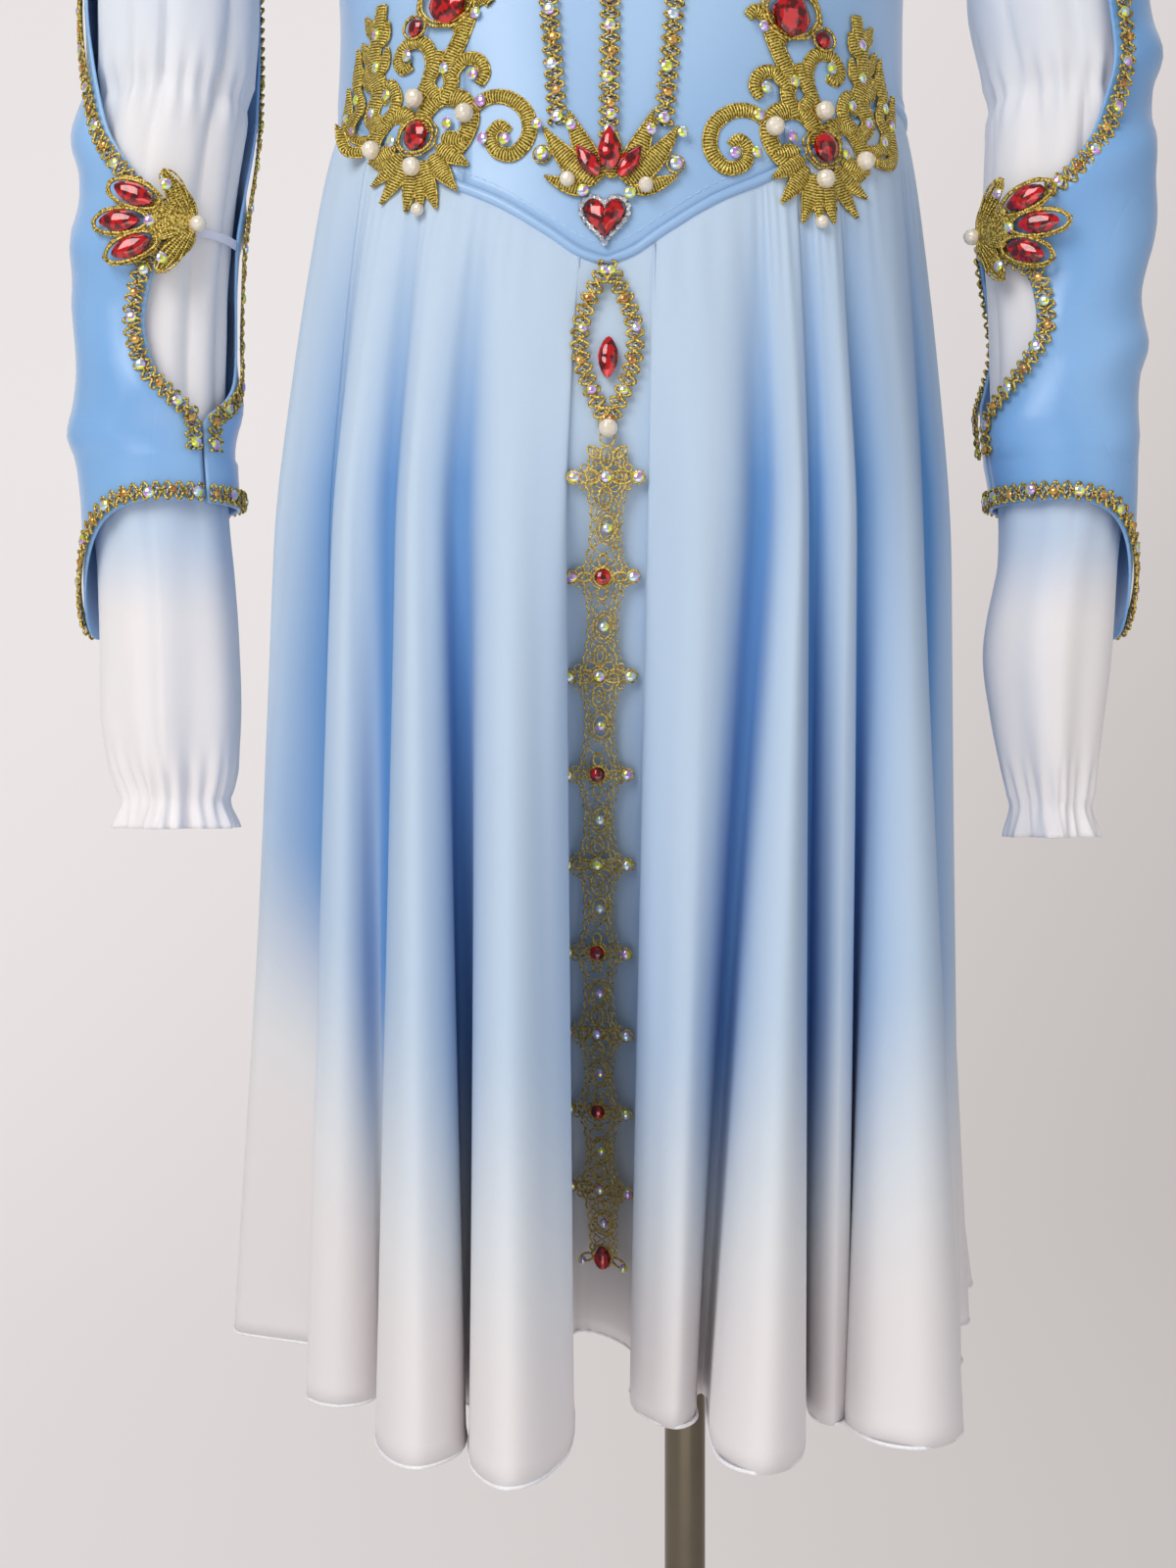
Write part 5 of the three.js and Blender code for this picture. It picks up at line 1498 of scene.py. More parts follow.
@dataclass
class Gimp:
    """Gimp braid: a flat base, two looping gold cords and a silver zigzag between them, with stones."""

    width: float = 9.0
    loop: float = 4.9
    swing: float = 1.65
    cord: float = 0.68
    stone_pitch: float = 10.6
    ab: float = 2.35
    amber: float = 1.8

    def make(self, name: str, ribbon: Ribbon, *nodes: str) -> None:
        """Builds one length of braid.

        Args:
            name: of its pieces.
            ribbon: the line it follows.
            nodes: what it stands for in the frame.
        """
        s = ribbon.at
        edge = self.width / 2 - 1.9
        base = Build()
        rows = [ribbon.line(o * 0.4, 0.2 - 0.15 * abs(o) / edge) for o in spread(5, -edge, edge)]
        base.shell(np.stack(rows, axis=1)[::6], 0.6)
        settle(base.make(f"{name}_base"), "backing", "gimp_braid", *nodes)
        gold = Build()
        wave = 2 * math.pi * s / self.loop
        for side in (-1, 1):
            swing = np.sin(wave + (0 if side > 0 else math.pi))
            offset = side * (self.width / 4 - 0.1) + np.sign(swing) * np.abs(swing) ** 0.6 * self.swing
            gold.cord(ribbon.line(offset, 0.95 + 0.3 * np.cos(wave)), self.cord, 5, normals=ribbon.normals)
        settle(gold.make(f"{name}_cords"), "gold", "gimp_braid")
        silver = Build()
        zig = np.arcsin(np.sin(2 * math.pi * s / 2.45)) / (math.pi / 2)
        silver.cord(ribbon.line(zig * 2.3, 0.45), self.cord * 0.8, 4, normals=ribbon.normals)
        settle(silver.make(f"{name}_zigzag"), "silver", "gimp_braid")
        setting = Setting()
        room = ribbon.length - 6
        count = max(1, int(room / self.stone_pitch))
        for k in range(count + 1):
            at, normal, along = ribbon.place(3 + k * room / count, 0.8 * math.sin(k * 2.4), 1.15)
            finish, radius, rise = ("amber", self.amber, 1.6) if k % 2 else ("ab", self.ab, 2.0)
            setting.add(finish, Cut.ROUND, at, normal, (radius, radius, rise), along)
        setting.make(name)


@dataclass
class Braids:
    """Every length of gimp on the dress."""

    gimp: Gimp
    lift: float = 0.9

    def sew(self, node: str, pairs: Sequence) -> None:
        """Sews one length on, along pairs of points on and above the cloth."""
        self.gimp.make(node + LOOK, Ribbon.between(pairs), node)

    def bodice(self) -> None:
        """Three lengths up the centre front."""
        rows = (("left", -21.5, 1013.0, -44.0), ("centre", -1.0, 1007.0, 3.0), ("right", 21.0, 1012.0, 50.0))
        for name, bottom_x, bottom_z, top_x in rows:
            pairs = []
            for z in spread(60, bottom_z, NECK_Z - 1.5):
                x = lerp(bottom_x, top_x, (z - bottom_z) / (NECK_Z - bottom_z))
                pairs.append([front_point(x, z, OUTER + self.lift + more) for more in (0, 5)])
            self.sew(f"bodice_braid_{name}", pairs)

    def sleeve(self, tube: Tube) -> None:
        """Both edges of the slash and the cuff of one sleeve."""
        out = CLOTH + self.lift + 0.5
        for edge, sign, read in (("front", 1, tube.front), ("inner", -1, tube.inner)):
            line = [(t, read(max(t, SLASH_END)) + sign * 7.5) for t in spread(160, SLASH_TOP, OVER_END)]
            pairs = [[tube.point(t, degrees, out + more) for more in (0, 5)] for t, degrees in line]
            self.sew(f"slash_braid_{edge}_{tube.name}", pairs)
        start = CUFF_SPLIT[tube.name] + 3
        pairs = [[tube.point(tube.cuff_z(degrees) + 4.2, degrees, out + more) for more in (0, 5)]
                 for degrees in spread(150, start, start + 354)]
        self.sew(f"cuff_braid_{tube.name}", pairs)
        self.strap(tube)

    @staticmethod
    def strap(tube: Tube) -> None:
        """Elastic strap over the narrow neck of the slash."""
        start, end = STRAP_ENDS[tube.name]
        grid = np.array([[tube.point(t, lerp(start, end, i / 24), 1.0) for i in range(25)]
                         for t in spread(6, 992, 988)])
        build = Build()
        build.shell(grid, 0.9, centre=(tube.side * SLEEVE_X, 0.0))
        node = f"elastic_strap_{tube.name}"
        settle(build.make(node + LOOK), "elastic", "elastic", node)


# ---------------------------------------------------------------- embroidery
@dataclass
class Stroke:
    """One satin-stitch stroke in the flat of an applique: points and widths, in millimetres."""

    points: Point
    widths: Point

    @classmethod
    def through(cls, points: Sequence, tip: float, wide: float) -> "Stroke":
        """Smooth line through points, widest in its first half and narrow at its tip."""
        ends = [points[0], *points, points[-1]]
        line = []
        for k in range(len(points) - 1):
            p = [np.array(ends[k + m], dtype=float) for m in range(4)]
            line += [spline(p, f) for f in np.linspace(0, 1, 9)[:-1]]
        line.append(np.array(points[-1], dtype=float))
        share = np.linspace(0, 1, len(line))
        width = tip + (wide - tip) * np.sin(np.pi * np.clip(0.16 + 0.84 * share, 0, 1)) ** 0.8
        return cls(np.array(line), width)

    @classmethod
    def leaf(cls, x: float, z: float, turn: float, length: float, wide: float, bend: float = 0.0) -> "Stroke":
        """Leaf from a root in a direction, widest a third of the way along."""
        share = np.linspace(0, 1, 16)
        angle = np.radians(turn + bend * share)
        along = np.cumsum(np.column_stack([np.cos(angle), np.sin(angle)]) * length / 16, axis=0)
        width = wide * (np.sin(np.pi * share ** 0.62) * 0.92 + 0.08)
        return cls(along + np.array((x, z)), width)


@dataclass
class Embroidery:
    """Corded satin-stitch embroidery laid on a surface."""

    surface: Surface
    high: float = 1.7
    low: float = 0.15
    cord: float = 0.5
    body: Build = field(default_factory=Build)
    edges: Build = field(default_factory=Build)

    def away(self, x: float, z: float) -> Point:
        """The way out of the cloth at a place."""
        return unit(self.surface(x, z, 6.0) - self.surface(x, z, 1.0))

    def stroke(self, stroke: Stroke, lift: float = 0.0) -> None:
        """Lays one stroke: a domed band of stitches between two cords."""
        line = stroke.points
        along = unit(np.gradient(line, axis=0))
        across = np.column_stack([-along[:, 1], along[:, 0]])
        shares = (-1.0, -0.82, -0.45, 0.0, 0.45, 0.82, 1.0)
        base = lift + self.low
        rows = list(zip(line, across, stroke.widths))

        def band(rises: dict) -> Point:
            """Points across the stroke: one for each share, lifted by its rise."""
            return np.array([[self.surface(*(p + n * share * w / 2), base + rise)
                              for share, rise in rises.items()] for p, n, w in rows])

        top = band({share: self.high * math.sqrt(max(0.0, 1 - share * share)) for share in shares})
        down = run(top[:, len(shares) // 2]) * MM
        chart = [(v, i / len(shares)) for v in down for i in range(len(shares))]
        self.body.slab(top, band(dict.fromkeys(shares, -0.1)), chart)
        rims = band({-1.0: 0.45, 1.0: 0.45})
        normals = np.array([self.away(*p) for p in line])
        for side in (0, 1):
            self.edges.cord(rims[:, side], self.cord, 4, normals)

    def wire(self, points: Sequence, radius: float, out: float, closed: bool = False) -> None:
        """Lays a cord along points in the flat."""
        line = np.array([self.surface(x, z, out) for x, z in points])
        normals = np.array([self.away(x, z) for x, z in points])
        self.edges.cord(line, radius, 4, closed=closed, normals=normals)

    def ring(self, x: float, z: float, across: float, tall: float, radius: float = 0.5, out: float = 0.8,
             turn: float = 0.0, scallop: float = 0.0) -> None:
        """Lays a closed oval cord, its edge scalloped where wanted."""
        points = []
        for k in range(30):
            a = 2 * math.pi * k / 30
            swell = 1 + scallop * math.sin(a * 8)
            u, v = across * math.cos(a) * swell, tall * math.sin(a) * swell
            t = math.radians(turn)
            points.append((x + u * math.cos(t) - v * math.sin(t), z + u * math.sin(t) + v * math.cos(t)))
        self.wire(points, radius, out, True)

    def make(self, name: str, finish: str, slot: str, *nodes: str) -> None:
        """Makes the pieces of what was laid."""
        if self.body.points:
            settle(self.body.make(f"{name}_stitches", 50), "embroidery", slot, *nodes)
            nodes = ()
        settle(self.edges.make(f"{name}_cords"), finish, slot, *nodes)


@dataclass
class HipApplique:
    """Scrollwork, leaves and stones over one hip; sizes are those of the left one."""

    form: SkirtForm
    x: float
    z: float
    side: float
    scrolls: tuple = (
        (5.0, 7.2, ((2, 1), (3, 9), (10, 14.5), (19, 12), (22.5, 4), (19, -5), (13, -11))),
        (5.0, 6.8, ((-2, 2), (-5, 9.5), (-12, 10.5), (-18, 4), (-18.5, -5), (-12, -12))),
        (3.2, 5.6, ((21, 6), (29, 11.5), (38, 11), (45.5, 4.5), (46.5, -5), (40.5, -12), (33.5, -10.5),
                    (31, -4.5), (34.5, 0), (38.5, -3))),
        (2.8, 5.0, ((-1, 14), (4, 22), (6, 31), (2.5, 38.5), (-4.5, 39.5), (-8.5, 34.5), (-6.5, 29.5),
                    (-2.5, 30.5))),
        (3.6, 6.4, ((11, 12), (14.5, 20), (13.5, 28), (17.5, 36), (21, 44), (23.5, 51), (28, 53.5),
                    (31, 50.5))),
        (3.0, 5.0, ((14, 22), (20, 28.5), (26, 27.5), (28.5, 22), (26, 17.5))),
        (3.0, 5.4, ((9, 14), (4.5, 21), (8, 28), (9.5, 34))),
        (4.0, 6.6, ((-15, 6), (-20.5, 14), (-17, 24), (-20, 36), (-17.5, 50), (-16, 60))),
        (2.6, 4.6, ((-13, 10), (-9, 17), (-12, 24.5), (-15, 21), (-13, 17.5))),
        (2.8, 4.8, ((-21, 3), (-28, 6), (-30, 14), (-26, 20), (-28, 29))),
        (2.6, 4.4, ((-24, -1), (-31, 0), (-33.5, 7), (-32.5, 16))),
    )
    leaves: tuple = (
        (-5, -6, 224, 19, 7, -12), (-4, -8, 243, 22, 7, -10), (-1, -10, 262, 22, 7, -4),
        (3, -10, 281, 23, 7, 6), (6, -8, 299, 21, 7, 10), (8, -5, 318, 17, 7, 12), (-8, -3, 203, 14, 6, -16),
        (10, -2, 340, 12, 6, 12), (1.5, -14, 270, 19, 5, 0), (-19, 24, 122, 13, 5, -20),
        (-19, 36, 128, 13, 5, -20), (-18, 47, 124, 12, 5, -16), (-17, 30, 62, 12, 5, 18),
        (-17, 42, 58, 11, 5, 18), (-28, 26, 84, 20, 5, 6), (-32.5, 14, 92, 18, 4.5, -6),
        (19, 40, 120, 10, 5, -20),
    )
    pearls: tuple = (
        (0.4, 15.3, 4.0), (21.4, 5.7, 4.0), (-17.4, -2.4, 4.0), (0.4, -13.7, 4.0), (1.6, -31.9, 2.8),
    )
    small_at: tuple = (-0.5, 45.5)
    drop_at: tuple = (13.5, 54.0)
    stones: tuple = (
        (-10.3, -0.5, 2.4), (13.2, 3.0, 2.4), (37, -6, 2.3), (27, 10.5, 2.4), (24, 22, 2.4), (12, 26, 2.3),
        (-4, 34.5, 2.4), (-13, 20.5, 2.3), (-20, 15, 2.2), (28, -5, 2.3), (-18, 34, 2.3), (-18, 48, 2.3),
        (25, 47, 2.3), (-28, 9, 2.3), (-27.5, 24, 2.2), (-32, 18, 2.1),
    )

    def make(self, name: str) -> None:
        """Lays the embroidery and sets the stones."""

        def place(px: float, pz: float, out: float) -> Point:
            """Point over the hip."""
            return self.form.over_seam(self.x + self.side * px, self.z + pz, out)

        node = f"hip_applique_{name}"
        work = Embroidery(place)
        for k, (tip, wide, points) in enumerate(self.scrolls):
            work.stroke(Stroke.through(points, tip, wide), 0.07 * k)
        for k, row in enumerate(self.leaves):
            work.stroke(Stroke.leaf(*row), 0.5 + 0.07 * (k % 5))
        work.ring(0, 0, 7.2, 7.2, 0.75, 1.9)
        work.ring(0, 0, 8.5, 8.5, 0.55, 1.3, 0, 0.05)
        work.ring(*self.drop_at, 12.2, 10.8, 0.9, 2.2, 0, 0.03)
        work.ring(*self.drop_at, 10.8, 9.4, 0.7, 2.6)
        work.ring(*self.small_at, 4.6, 4.6, 0.7, 2.2)
        work.make(node + LOOK, "gold", "gold_embroidery", node)
        setting = Setting()
        setting.lay(place, "red", 0, 0, (5.9, 5.9, 5.5), 1.4)
        setting.lay(place, "red", *self.small_at, (3.6, 3.6, 3.4), 1.4)
        setting.lay(place, "red", *self.drop_at, (12.4, 10.0, 6.5), 1.2, 100, Cut.DROP)
        for x, z, radius in self.pearls:
            setting.lay(place, "pearl", x, z, (radius,) * 3, 1.6, cut=Cut.PEARL)
        for x, z, radius in self.stones:
            setting.lay(place, "ab", x, z, (radius, radius, 2.2), 1.7)
        setting.make(node + LOOK)


@dataclass
class CentreFront:
    """Crown of leaves, heart, gimp loop and lace drop down the centre front."""

    form: SkirtForm
    leaves: tuple = (
        (-4, 987, 146, 34, 9, -26), (-3, 988, 122, 33, 9, -14), (0, 989, 90, 24, 10, 0),
        (3, 988, 58, 33, 9, 14), (4, 987, 34, 34, 9, 26), (-8, 985, 168, 20, 6, -16), (8, 985, 12, 20, 6, 16),
    )
    eyelets: tuple = ((-27.9, 1000.8, 3.4), (26.0, 996.4, 3.4), (-17.1, 990.5, 3.6), (12.4, 987.5, 3.6))
    drops: tuple = (
        (-0.7, 1002, (6.4, 9.0, 5.2), 90), (-9.3, 997.2, (5.2, 7.6, 4.6), 125),
        (7.6, 996.9, (5.2, 7.6, 4.6), 55),
    )
    pearls: tuple = ((-17.1, 989.5), (13.6, 987.0))
    sparks: tuple = (
        (-11.2, 985.2, 2.4), (7.4, 984.2, 2.4), (-27.9, 1000.8, 2.6), (26.0, 996.4, 2.6), (-16.0, 1012, 2.2),
        (16.0, 1010, 2.2), (-29.5, 1013, 2.2), (28.6, 1009, 2.2), (0, 1016, 2.2),
    )
    heart_at: tuple = (-2.6, 973.4)
    border_count: int = 26
    loop_x: float = -1.4
    rosettes: tuple = (868.0, 789.0, 709.0, 632.0, 556.6)
    crosses: tuple = (829.0, 748.0, 669.5, 595.0)
    ovals: tuple = (848.0, 809.0, 768.5, 728.5, 689.5, 651.0, 613.5, 576.0, 540.0)
    lace_top: float = 880.0
    lace_end: float = 524.0
    thick: float = 0.62
    thin: float = 0.42
    drift: Callable[[float], float] = field(default_factory=lambda: curve(
        [885, 829, 748, 669, 595, 556, 520], [-1.6, -3.5, -5.5, -5.5, -5.0, -4.0, -2.6]))

    def rail(self, z: float) -> float:
        """Half width of the lace between its rails at a height, widest at each motif."""
        return 5.2 + 2.9 * bell(min(abs(z - middle) for middle in self.rosettes + self.crosses), 0, 9)

    def crown(self) -> None:
        """Leaves, red drops and small stones over the heart."""
        name = "crown_applique"
        work = Embroidery(self.form.over_seam, high=1.6, low=1.5)
        for row in self.leaves:
            work.stroke(Stroke.leaf(*row))
        for x, z, radius in self.eyelets:
            work.ring(x, z, radius, radius, 0.6, 1.4)
        work.make(name + LOOK, "gold", "gold_embroidery", name)
        setting = Setting()
        for x, z, size, turn in self.drops:
            setting.lay(work.surface, "red", x, z, size, 3.0, turn, Cut.DROP)
        for x, z in self.pearls:
            setting.lay(work.surface, "pearl", x, z, (3.2, 3.2, 3.2), 3.0, cut=Cut.PEARL)
        for x, z, radius in self.sparks:
            setting.lay(work.surface, "ab", x, z, (radius, radius, radius - 0.2), 3.0)
        setting.make(name + LOOK)

    def heart(self) -> None:
        """Heart-shaped stone in a border of small clear stones."""
        x, z = self.heart_at
        up = (0, 0, 1)
        at = front_point(x, z, OUTER + 1.6)
        out = front_point(x, z, OUTER + 9) - at
        stone = Setting()
        stone.add("red", Cut.HEART, at, out, (8.2, 8.4, 6.0), up)
        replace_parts(stone.make("heart_stone" + LOOK)[0], "heart_stone")
        turns = spread(self.border_count + 1, 0, 2 * math.pi)[:-1]
        rim = [(x + 9.6 * wide, z + 9.9 * tall) for wide, tall in map(heart, turns)]
        border = Setting()
        for place in rim:
            border.add("clear", Cut.ROUND, front_point(*place, OUTER + 2.0), out, (1.15, 1.15, 1.3), up)
        claws = Build()
        line = np.array([front_point(*place, OUTER + 1.4) for place in rim])
        claws.cord(line, 1.25, 8, np.tile(unit(out), (len(rim), 1)), True)
        settle(claws.make("heart_setting"), "silver", "ab_stone")
        border.make("heart_border")

    def loop(self, gimp: Gimp) -> None:
        """Gimp loop below the point, its pearl and the marquise in its eye."""
        for name, sign in (("left", -1), ("right", 1)):
            points = []
            for f in spread(70, 0, 1):
                x = -1.6 + sign * 11.3 * math.sin(math.pi * f ** 0.94) ** 1.1
                points.append(self.form.hollow(x, lerp(955, 889, f), 2.4 + 0.9 * bell(f, 0, 0.1)))
            ribbon = Ribbon(points, np.tile((0.0, -1.0, 0.15), (len(points), 1)))
            gimp.make(f"braid_loop_{name}" + LOOK, ribbon,
                      *(("braid_loop",) if sign < 0 else ()))
        setting = Setting()
        for finish, cut, z, out, size, along in (
                ("red", Cut.MARQUISE, 917, 2.0, (8.2, 8.6, 4.5), (0.05, 0, 1)),
                ("pearl", Cut.PEARL, 887.5, 3.0, (4.0, 4.0, 4.0), (0, 0, 1))):
            setting.add(finish, cut, self.form.hollow(self.loop_x, z, out), (0, -1, 0.1), size, along)
        setting.make("loop_centre")

    def lace(self) -> None:
        """Corded lace down the centre hollow: rosettes, crosses and ovals between two rails."""

        def place(px: float, pz: float, out: float) -> Point:
            """Point on the hollow."""
            return self.form.hollow(px + self.drift(pz), pz, out + 3.0)

        def stone(finish: str, x: float, z: float, size: tuple, cut: Cut = Cut.ROUND) -> None:
            """Queues one stone on the lace."""
            setting.add(finish, cut, place(x, z, 1.3), (0, -1, 0.15), size, (0, 0, 1))

        work = Embroidery(place)
        setting = Setting()
        thick, thin = self.thick, self.thin
        for z in self.rosettes:
            for turn in (0, 90, 180, 270):
                x, rise = polar(turn, 6.4 if turn % 180 == 0 else 8.2)
                work.ring(x, z + rise, 4.4, 2.7, thick, 1.1, turn)
                work.ring(x, z + rise, 2.4, 1.2, thin, 1.0, turn)
                x, rise = polar(turn + 45, 5.0)
                work.ring(x, z + rise, 2.5, 2.2, thin, 0.9, turn + 45)
            work.ring(0, z, 3.0, 3.0, thick, 1.2)
            for sign in (-1, 1):
                work.ring(sign * 13.0, z, 2.6, 2.6, thick, 1.1, 0, 0.1)
                for rise in (3.6, -3.6):
                    work.ring(sign * 9.0, z + rise, 1.5, 1.5, thin, 0.9)
                stone("ab", sign * 13.0, z, (2.3, 2.3, 2.0))
            stone("ab", 0, z, (2.3, 2.3, 2.0))
        for z in self.crosses:
            work.ring(0, z, 3.6, 3.6, thick + 0.1, 1.2)
            work.ring(0, z, 5.0, 4.4, thin, 0.9, 0, 0.08)
            for sign in (-1, 1):
                work.ring(sign * 7.4, z, 3.2, 1.7, thick, 1.1)
                work.ring(sign * 12.6, z, 2.5, 2.5, thick, 1.1, 0, 0.1)
                for rise in (2.6, -2.6):
                    work.ring(sign * 9.6, z + rise, 1.3, 1.3, thin, 0.9)
                work.ring(0, z + sign * 6.4, 1.8, 2.6, thick, 1.0)
                stone("ab", sign * 12.8, z, (2.3, 2.3, 2.0))
            stone("red", 0, z, (3.2, 3.2, 3.0))
        for z in self.ovals:
            work.ring(1.2, z, 3.2, 4.8, thick, 1.1)
            work.ring(1.2, z, 4.6, 6.4, thin, 0.9, 0, 0.05)
            stone("ab", 1.2, z, (2.0, 2.0, 1.8))
        self.rails(work)
        work.ring(0, 884, 3.0, 3.6, thick, 1.4)
        for sign in (-1, 1):
            work.ring(sign * 5.2, 878, 3.2, 1.8, thick, 1.1, sign * 40)
            work.ring(sign * 7.4, 521, 3.4, 1.8, thick, 1.1, sign * -30)
            stone("ab", sign * 9.6, 519, (2.0, 2.0, 1.8))
        work.ring(0, 523, 4.6, 5.6, thick, 1.2)
        stone("red", 0, 523, (5.6, 6.2, 4.0), Cut.DROP)
        work.make("lace_drop" + LOOK, "lace", "gold_embroidery", "lace_drop")
        setting.make("lace_drop" + LOOK)

    def rails(self, work: Embroidery) -> None:
        """Lays the lace's two rails a side, the net between them and the picot edge."""
        heights = spread(430, self.lace_top, self.lace_end)
        turn = 2 * math.pi
        for sign in (-1, 1):
            for shift, pitch, radius in ((0.0, 5.2, self.thick), (1.7, 3.4, self.thin)):
                edge = [self.rail(z) - shift + 0.55 * math.sin(turn * z / pitch) for z in heights]
                work.wire([(sign * x, z) for x, z in zip(edge, heights)], radius, 0.9)
        for k in range(2):
            net = []
            for z in heights:
                zigzag = math.asin(math.sin(turn * (z / 12.5 + k / 2))) / (math.pi / 2)
                net.append(((self.rail(z) - 1.4) * zigzag, z))
            work.wire(net, self.thin * 0.85, 0.45 + 0.25 * k)
        picot = [(self.rail(z) + 0.7 + 1.5 * abs(math.sin(math.pi * z / 4.2)), z) for z in heights]
        work.wire(picot, self.thin * 0.8, 0.5)

    def make(self, gimp: Gimp) -> None:
        """Builds all four."""
        self.crown()
        self.heart()
        self.loop(gimp)
        self.lace()


@dataclass
class SleeveFan:
    """Ribbed fan with three marquise stones on the point of one oversleeve."""

    tube: Tube
    height: float = 991.0
    root: float = -7.0
    widest: float = 0.64
    ribs: tuple = ((-60, 26.0), (60, 26.0), (-27, 17.0), (-13, 17.0), (0, 18.0), (13, 17.0), (27, 17.0))

    def cups(self) -> list[tuple]:
        """Turn, width and height of each marquise's cup."""
        rows = []
        for turn, reach in ((-27, 25.5), (0, 27.5), (27, 25.5)):
            x, z = polar(turn, reach)
            rows.append((turn, self.root + x, z))
        return rows

    def make(self) -> None:
        """Lays the fan and sets its stones."""
        centre = FAN_CENTRE[self.tube.name]

        def place(px: float, pz: float, out: float) -> Point:
            """Point over the sleeve, px towards the outside."""
            degrees = centre + math.degrees(px / 36)
            return self.tube.point(self.height + pz, degrees, CLOTH + 4.4 + out)

        work = Embroidery(place, high=1.2)
        for turn, length in self.ribs:
            wide, half = (9, 3.8) if length > 20 else (5, 1.9)
            work.stroke(Stroke.leaf(self.root, 0, turn, length, wide, 0), 0.04 * abs(turn) / 24)
            away, beside = polar(turn), polar(turn + 90)
            for lane in (-1.0, -0.5, 0.0, 0.5, 1.0):
                line = []
                for f in spread(14, 0.06, 1.0):
                    past = max(0.0, f - self.widest) / (1 - self.widest)
                    swell = math.sqrt(max(0.0, 1 - past * past)) if past else lerp(0.2, 1, f / self.widest)
                    line.append(away * length * f + beside * lane * swell * half)
                work.wire([(self.root + u, v) for u, v in line], 0.5, 1.75)
        for turn, x, z in self.cups():
            work.ring(x, z, 10.2, 5.4, 0.8, 2.2, turn)
            work.ring(x, z, 11.2, 6.3, 0.6, 1.6, turn, 0.03)
        node = f"sleeve_fan_{self.tube.name}"
        work.make(node + LOOK, "gold", "gold_embroidery", node)
        setting = Setting()
        for turn, x, z in self.cups():
            setting.lay(place, "red", x, z, (9.6, 9.2, 5.0), 1.0, turn, Cut.MARQUISE)
        setting.lay(place, "pearl", self.root - 0.5, 0, (3.8, 3.8, 3.8), 1.4, cut=Cut.PEARL)
        for x, z in ((4.5, 16.0), (4.5, -16.0), (9.5, 0)):
            setting.lay(place, "ab", x, z, (2.4, 2.4, 2.2), 1.6)
        setting.make(node + LOOK)


# ---------------------------------------------------------------- dress form and stand
@dataclass
class DressForm:
    """Padded form under the dress, and its stand."""

    columns: int = 96
    rows: int = 120
    top: float = 1531.0

    def torso(self) -> None:
        """Smooth closed torso with a flat underside."""
        shrink = curve([FORM_Z, 1240, 1330, 1534], [0.6, 2.7, 2.7, 2.7])
        sink = curve([FORM_Z, 1370, 1450, 1534], [0, 0, 1.6, 1.6])
        count = self.columns
        rings = []
        for z in spread(self.rows, FORM_Z, self.top):
            down = np.array((0, 0, sink(z)))
            rings.append([torso_point(360 * i / count, z, -shrink(z)) - down for i in range(count)])
        top = np.array(rings[-1])
        middle = top.mean(axis=0)
        for share, lift in ((0.8, 1.2), (0.5, 1.8)):
            rings.append(middle + (top - middle) * share + np.array((0, 0, lift)))
        last = (len(rings) - 1) * count
        faces = []
        for i in range(last):
            after = i - i % count + (i + 1) % count
            faces.append((i, after, after + count, i + count))
        faces += [tuple(range(count)), tuple(range(last, last + count))]
        build = Build()
        build.add(np.concatenate(rings), faces)
        settle(build.make("form_torso" + LOOK, 50), "cover", "form_cover", "form_torso")

    @staticmethod
    def turned(name: str, radius: float, low: float, high: float, bevel: float, sides: int = 48) -> Piece:
        """Round piece about the pole's axis, its edges bevelled."""
        bpy.ops.mesh.primitive_cylinder_add(vertices=sides, radius=radius * MM, depth=(high - low) * MM,
                                            location=(POLE_X * MM, 0, (low + high) / 2 * MM))
        made = bpy.context.object
        made.name = name + LOOK
        bpy.ops.object.transform_apply(location=True, rotation=True, scale=True)

        def level(edge: bpy.types.MeshEdge) -> bool:
            """Whether an edge lies in a flat face."""
            low_end, high_end = (made.data.vertices[i].co.z for i in edge.vertices)
            return abs(low_end - high_end) < 1e-6

        edit(made, "edges", level)
        bpy.ops.mesh.bevel(offset=bevel * MM, segments=3)
        bpy.ops.object.mode_set(mode="OBJECT")
        return made

    def stand(self) -> None:
        """Weighted base with its collar, pole and socket."""
        base = self.turned("stand_base", BASE_RADIUS, 0, BASE_THICK, 2.0, 96)
        collar = self.turned("collar", COLLAR_RADIUS, BASE_THICK - 0.5, COLLAR_TOP, 3.0)
        only(base)
        collar.select_set(True)
        bpy.ops.object.join()
        pole = self.turned("stand_pole", POLE_RADIUS, COLLAR_TOP + 0.3, FORM_Z - 20, 0.6)
        socket = self.turned("stand_socket", SOCKET_RADIUS, FORM_Z - 19.6, FORM_Z - 0.4, 3.0)
        for piece in (base, pole, socket):
            if piece.data.uv_layers:
                piece.data.uv_layers.remove(piece.data.uv_layers[0])
            shade(piece, 35)
            settle(piece, "steel", "steel", piece.name.removesuffix(LOOK))

    def make(self) -> None:
        """Builds the torso and its stand."""
        self.torso()
        self.stand()


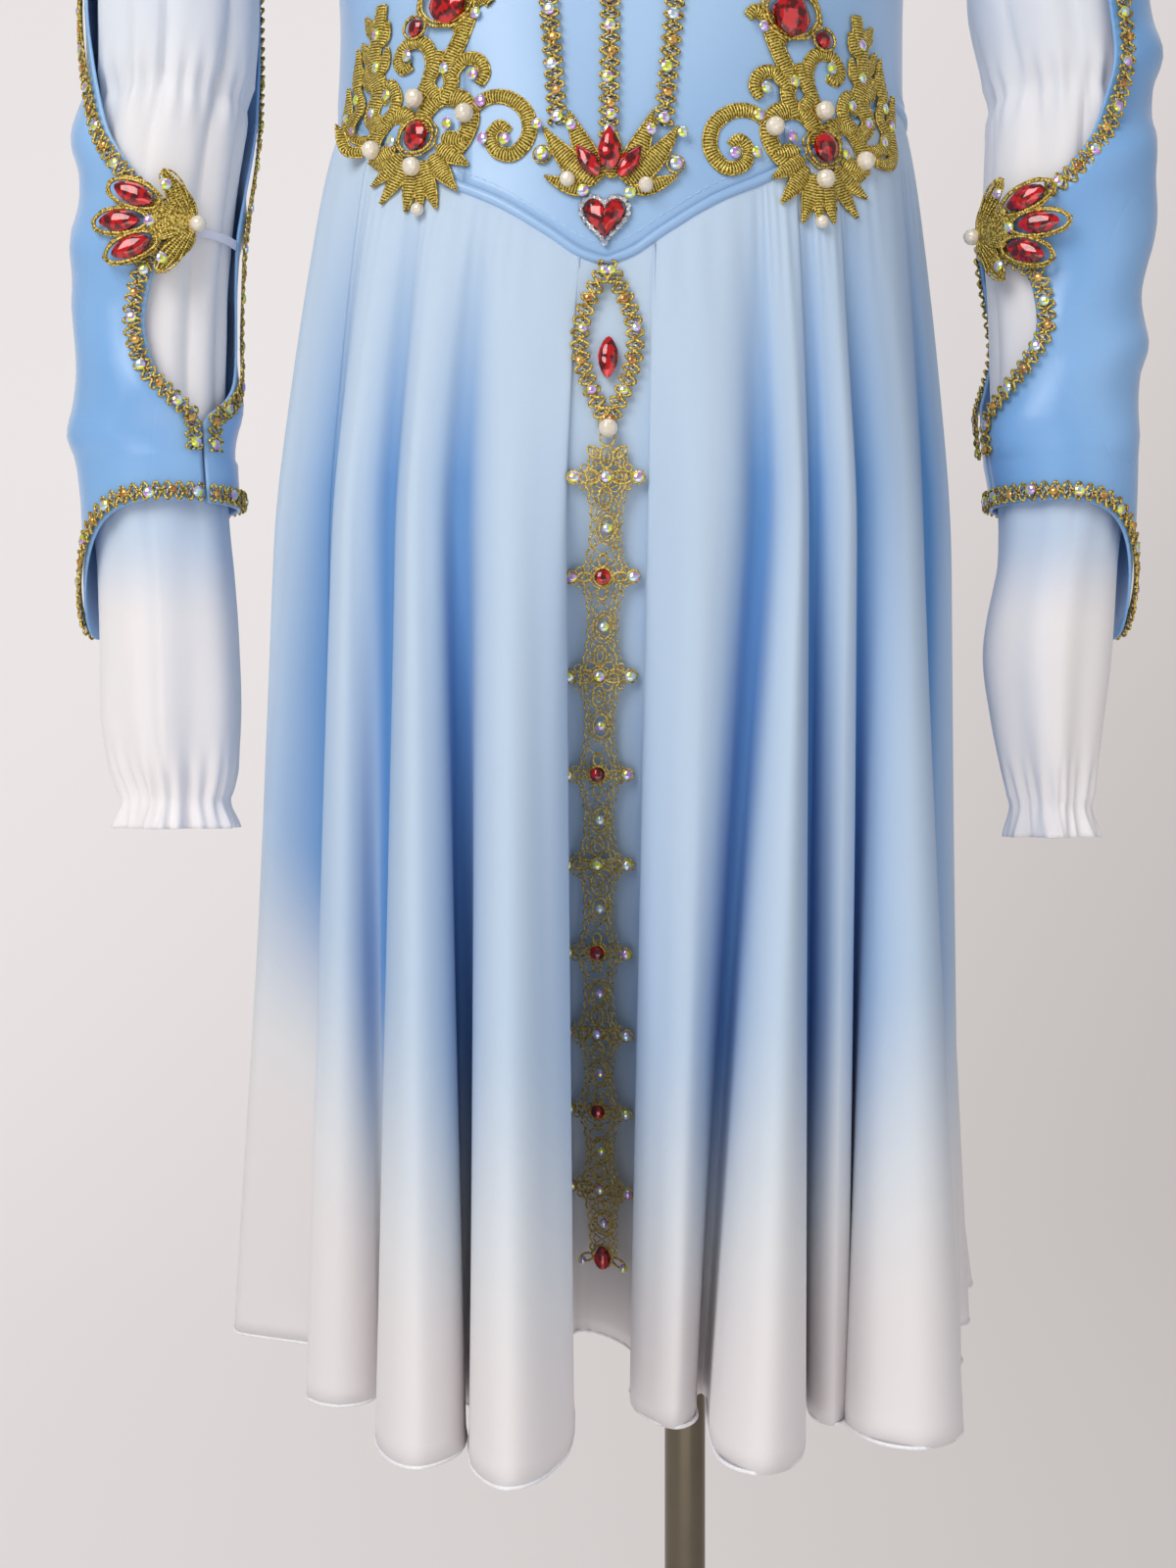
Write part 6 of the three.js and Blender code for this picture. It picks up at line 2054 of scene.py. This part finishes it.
# ---------------------------------------------------------------- set
@dataclass
class Studio:
    """Backdrop, lights and camera."""

    camera_at: tuple = (-9.5, -920.0, 744.0)
    focal_px: float = 2044.0
    height_px: float = 1600.0
    film: float = 36.0
    half_width: float = 5200.0
    floor_end: float = 2200.0
    cove: float = 1600.0
    wall_top: float = 5600.0
    room_light: float = 0.33
    lamps: tuple = (
        ("key", (-900, -1500, 1900), (0, 0, 950), (1.2, 1.2), 25.0, (1.0, 0.985, 0.96)),
        ("fill", (1300, -1300, 1000), (0, 0, 850), (1.6, 1.6), 5.0, (0.93, 0.96, 1.0)),
        ("top", (0, 100, 2500), (0, 0, 900), (1.4, 1.0), 9.0, (1.0, 1.0, 1.0)),
        ("low", (0, -1500, 250), (0, 0, 600), (1.6, 0.8), 5.0, (1.0, 0.98, 0.95)),
    )

    def backdrop(self) -> None:
        """Pale floor that sweeps up into a wall, far enough back to leave every side of the dress in view."""
        profile = [(-self.half_width, 0)]
        for a in spread(25, 0, math.pi / 2):
            profile.append((self.floor_end + self.cove * math.sin(a), self.cove * (1 - math.cos(a))))
        profile.append((self.floor_end + self.cove, self.wall_top))
        points = [(x, y, z) for y, z in profile for x in (-self.half_width, self.half_width)]
        build = Build()
        build.add(points, [(k, k + 1, k + 3, k + 2) for k in range(0, len(points) - 2, 2)])
        made = build.make("backdrop", 60)
        made.data.materials.append(FINISHES["wall"])

    @staticmethod
    def lamp(name: str, at: tuple, aim: tuple, size: tuple, watts: float, tint: tuple) -> None:
        """One area light aimed at a point."""
        data = bpy.data.lights.new(name, "AREA")
        data.shape = "RECTANGLE"
        data.size, data.size_y = size
        data.energy = watts
        data.color = tint
        lamp = bpy.data.objects.new(name, data)
        bpy.context.scene.collection.objects.link(lamp)
        place = np.array(at) * MM
        lamp.location = tuple(place)
        away = np.array(aim) * MM - place
        lamp.rotation_euler = (math.atan2(float(np.hypot(away[0], away[1])), float(-away[2])), 0.0,
                               math.atan2(float(away[1]), float(away[0])) - math.pi / 2)

    def make(self) -> None:
        """Builds the set and places the camera."""
        self.backdrop()
        for row in self.lamps:
            self.lamp(*row)
        world = bpy.data.worlds.new("room")
        bpy.context.scene.world = world
        world.use_nodes = True
        sky = world.node_tree.nodes["Background"].inputs
        sky["Color"].default_value = (*linear(236, 234, 236), 1.0)
        sky["Strength"].default_value = self.room_light
        data = bpy.data.cameras.new("camera")
        data.sensor_fit = "VERTICAL"
        data.sensor_height = self.film
        data.lens = self.film * self.focal_px / self.height_px
        data.clip_start = 0.05
        camera = bpy.data.objects.new("camera", data)
        camera.location = tuple(c * MM for c in self.camera_at)
        camera.rotation_euler = (math.pi / 2, 0, 0)
        bpy.context.scene.collection.objects.link(camera)
        bpy.context.scene.camera = camera
        bpy.context.scene.view_settings.view_transform = "Standard"


def main() -> None:
    """Builds every piece in the frame's own place."""
    logging.basicConfig(level=logging.INFO, format="%(message)s")
    build_finishes()
    Jeweller().work()
    braids = Braids(Gimp())
    form = SkirtForm()
    Skirt(form).make()
    Bodice().make()
    braids.bodice()
    HipApplique(form, -80.0, 1014.0, 1.0).make("left")
    HipApplique(form, 87.0, 1008.0, -1.0).make("right")
    CentreFront(form).make(Gimp(width=7.4, stone_pitch=11.0, ab=1.9))
    for name in ("left", "right"):
        tube = Tube(name)
        Sleeve(tube).make()
        braids.sleeve(tube)
        SleeveFan(tube).make()
    DressForm().make()
    Studio().make()


if __name__ == "__main__":
    main()
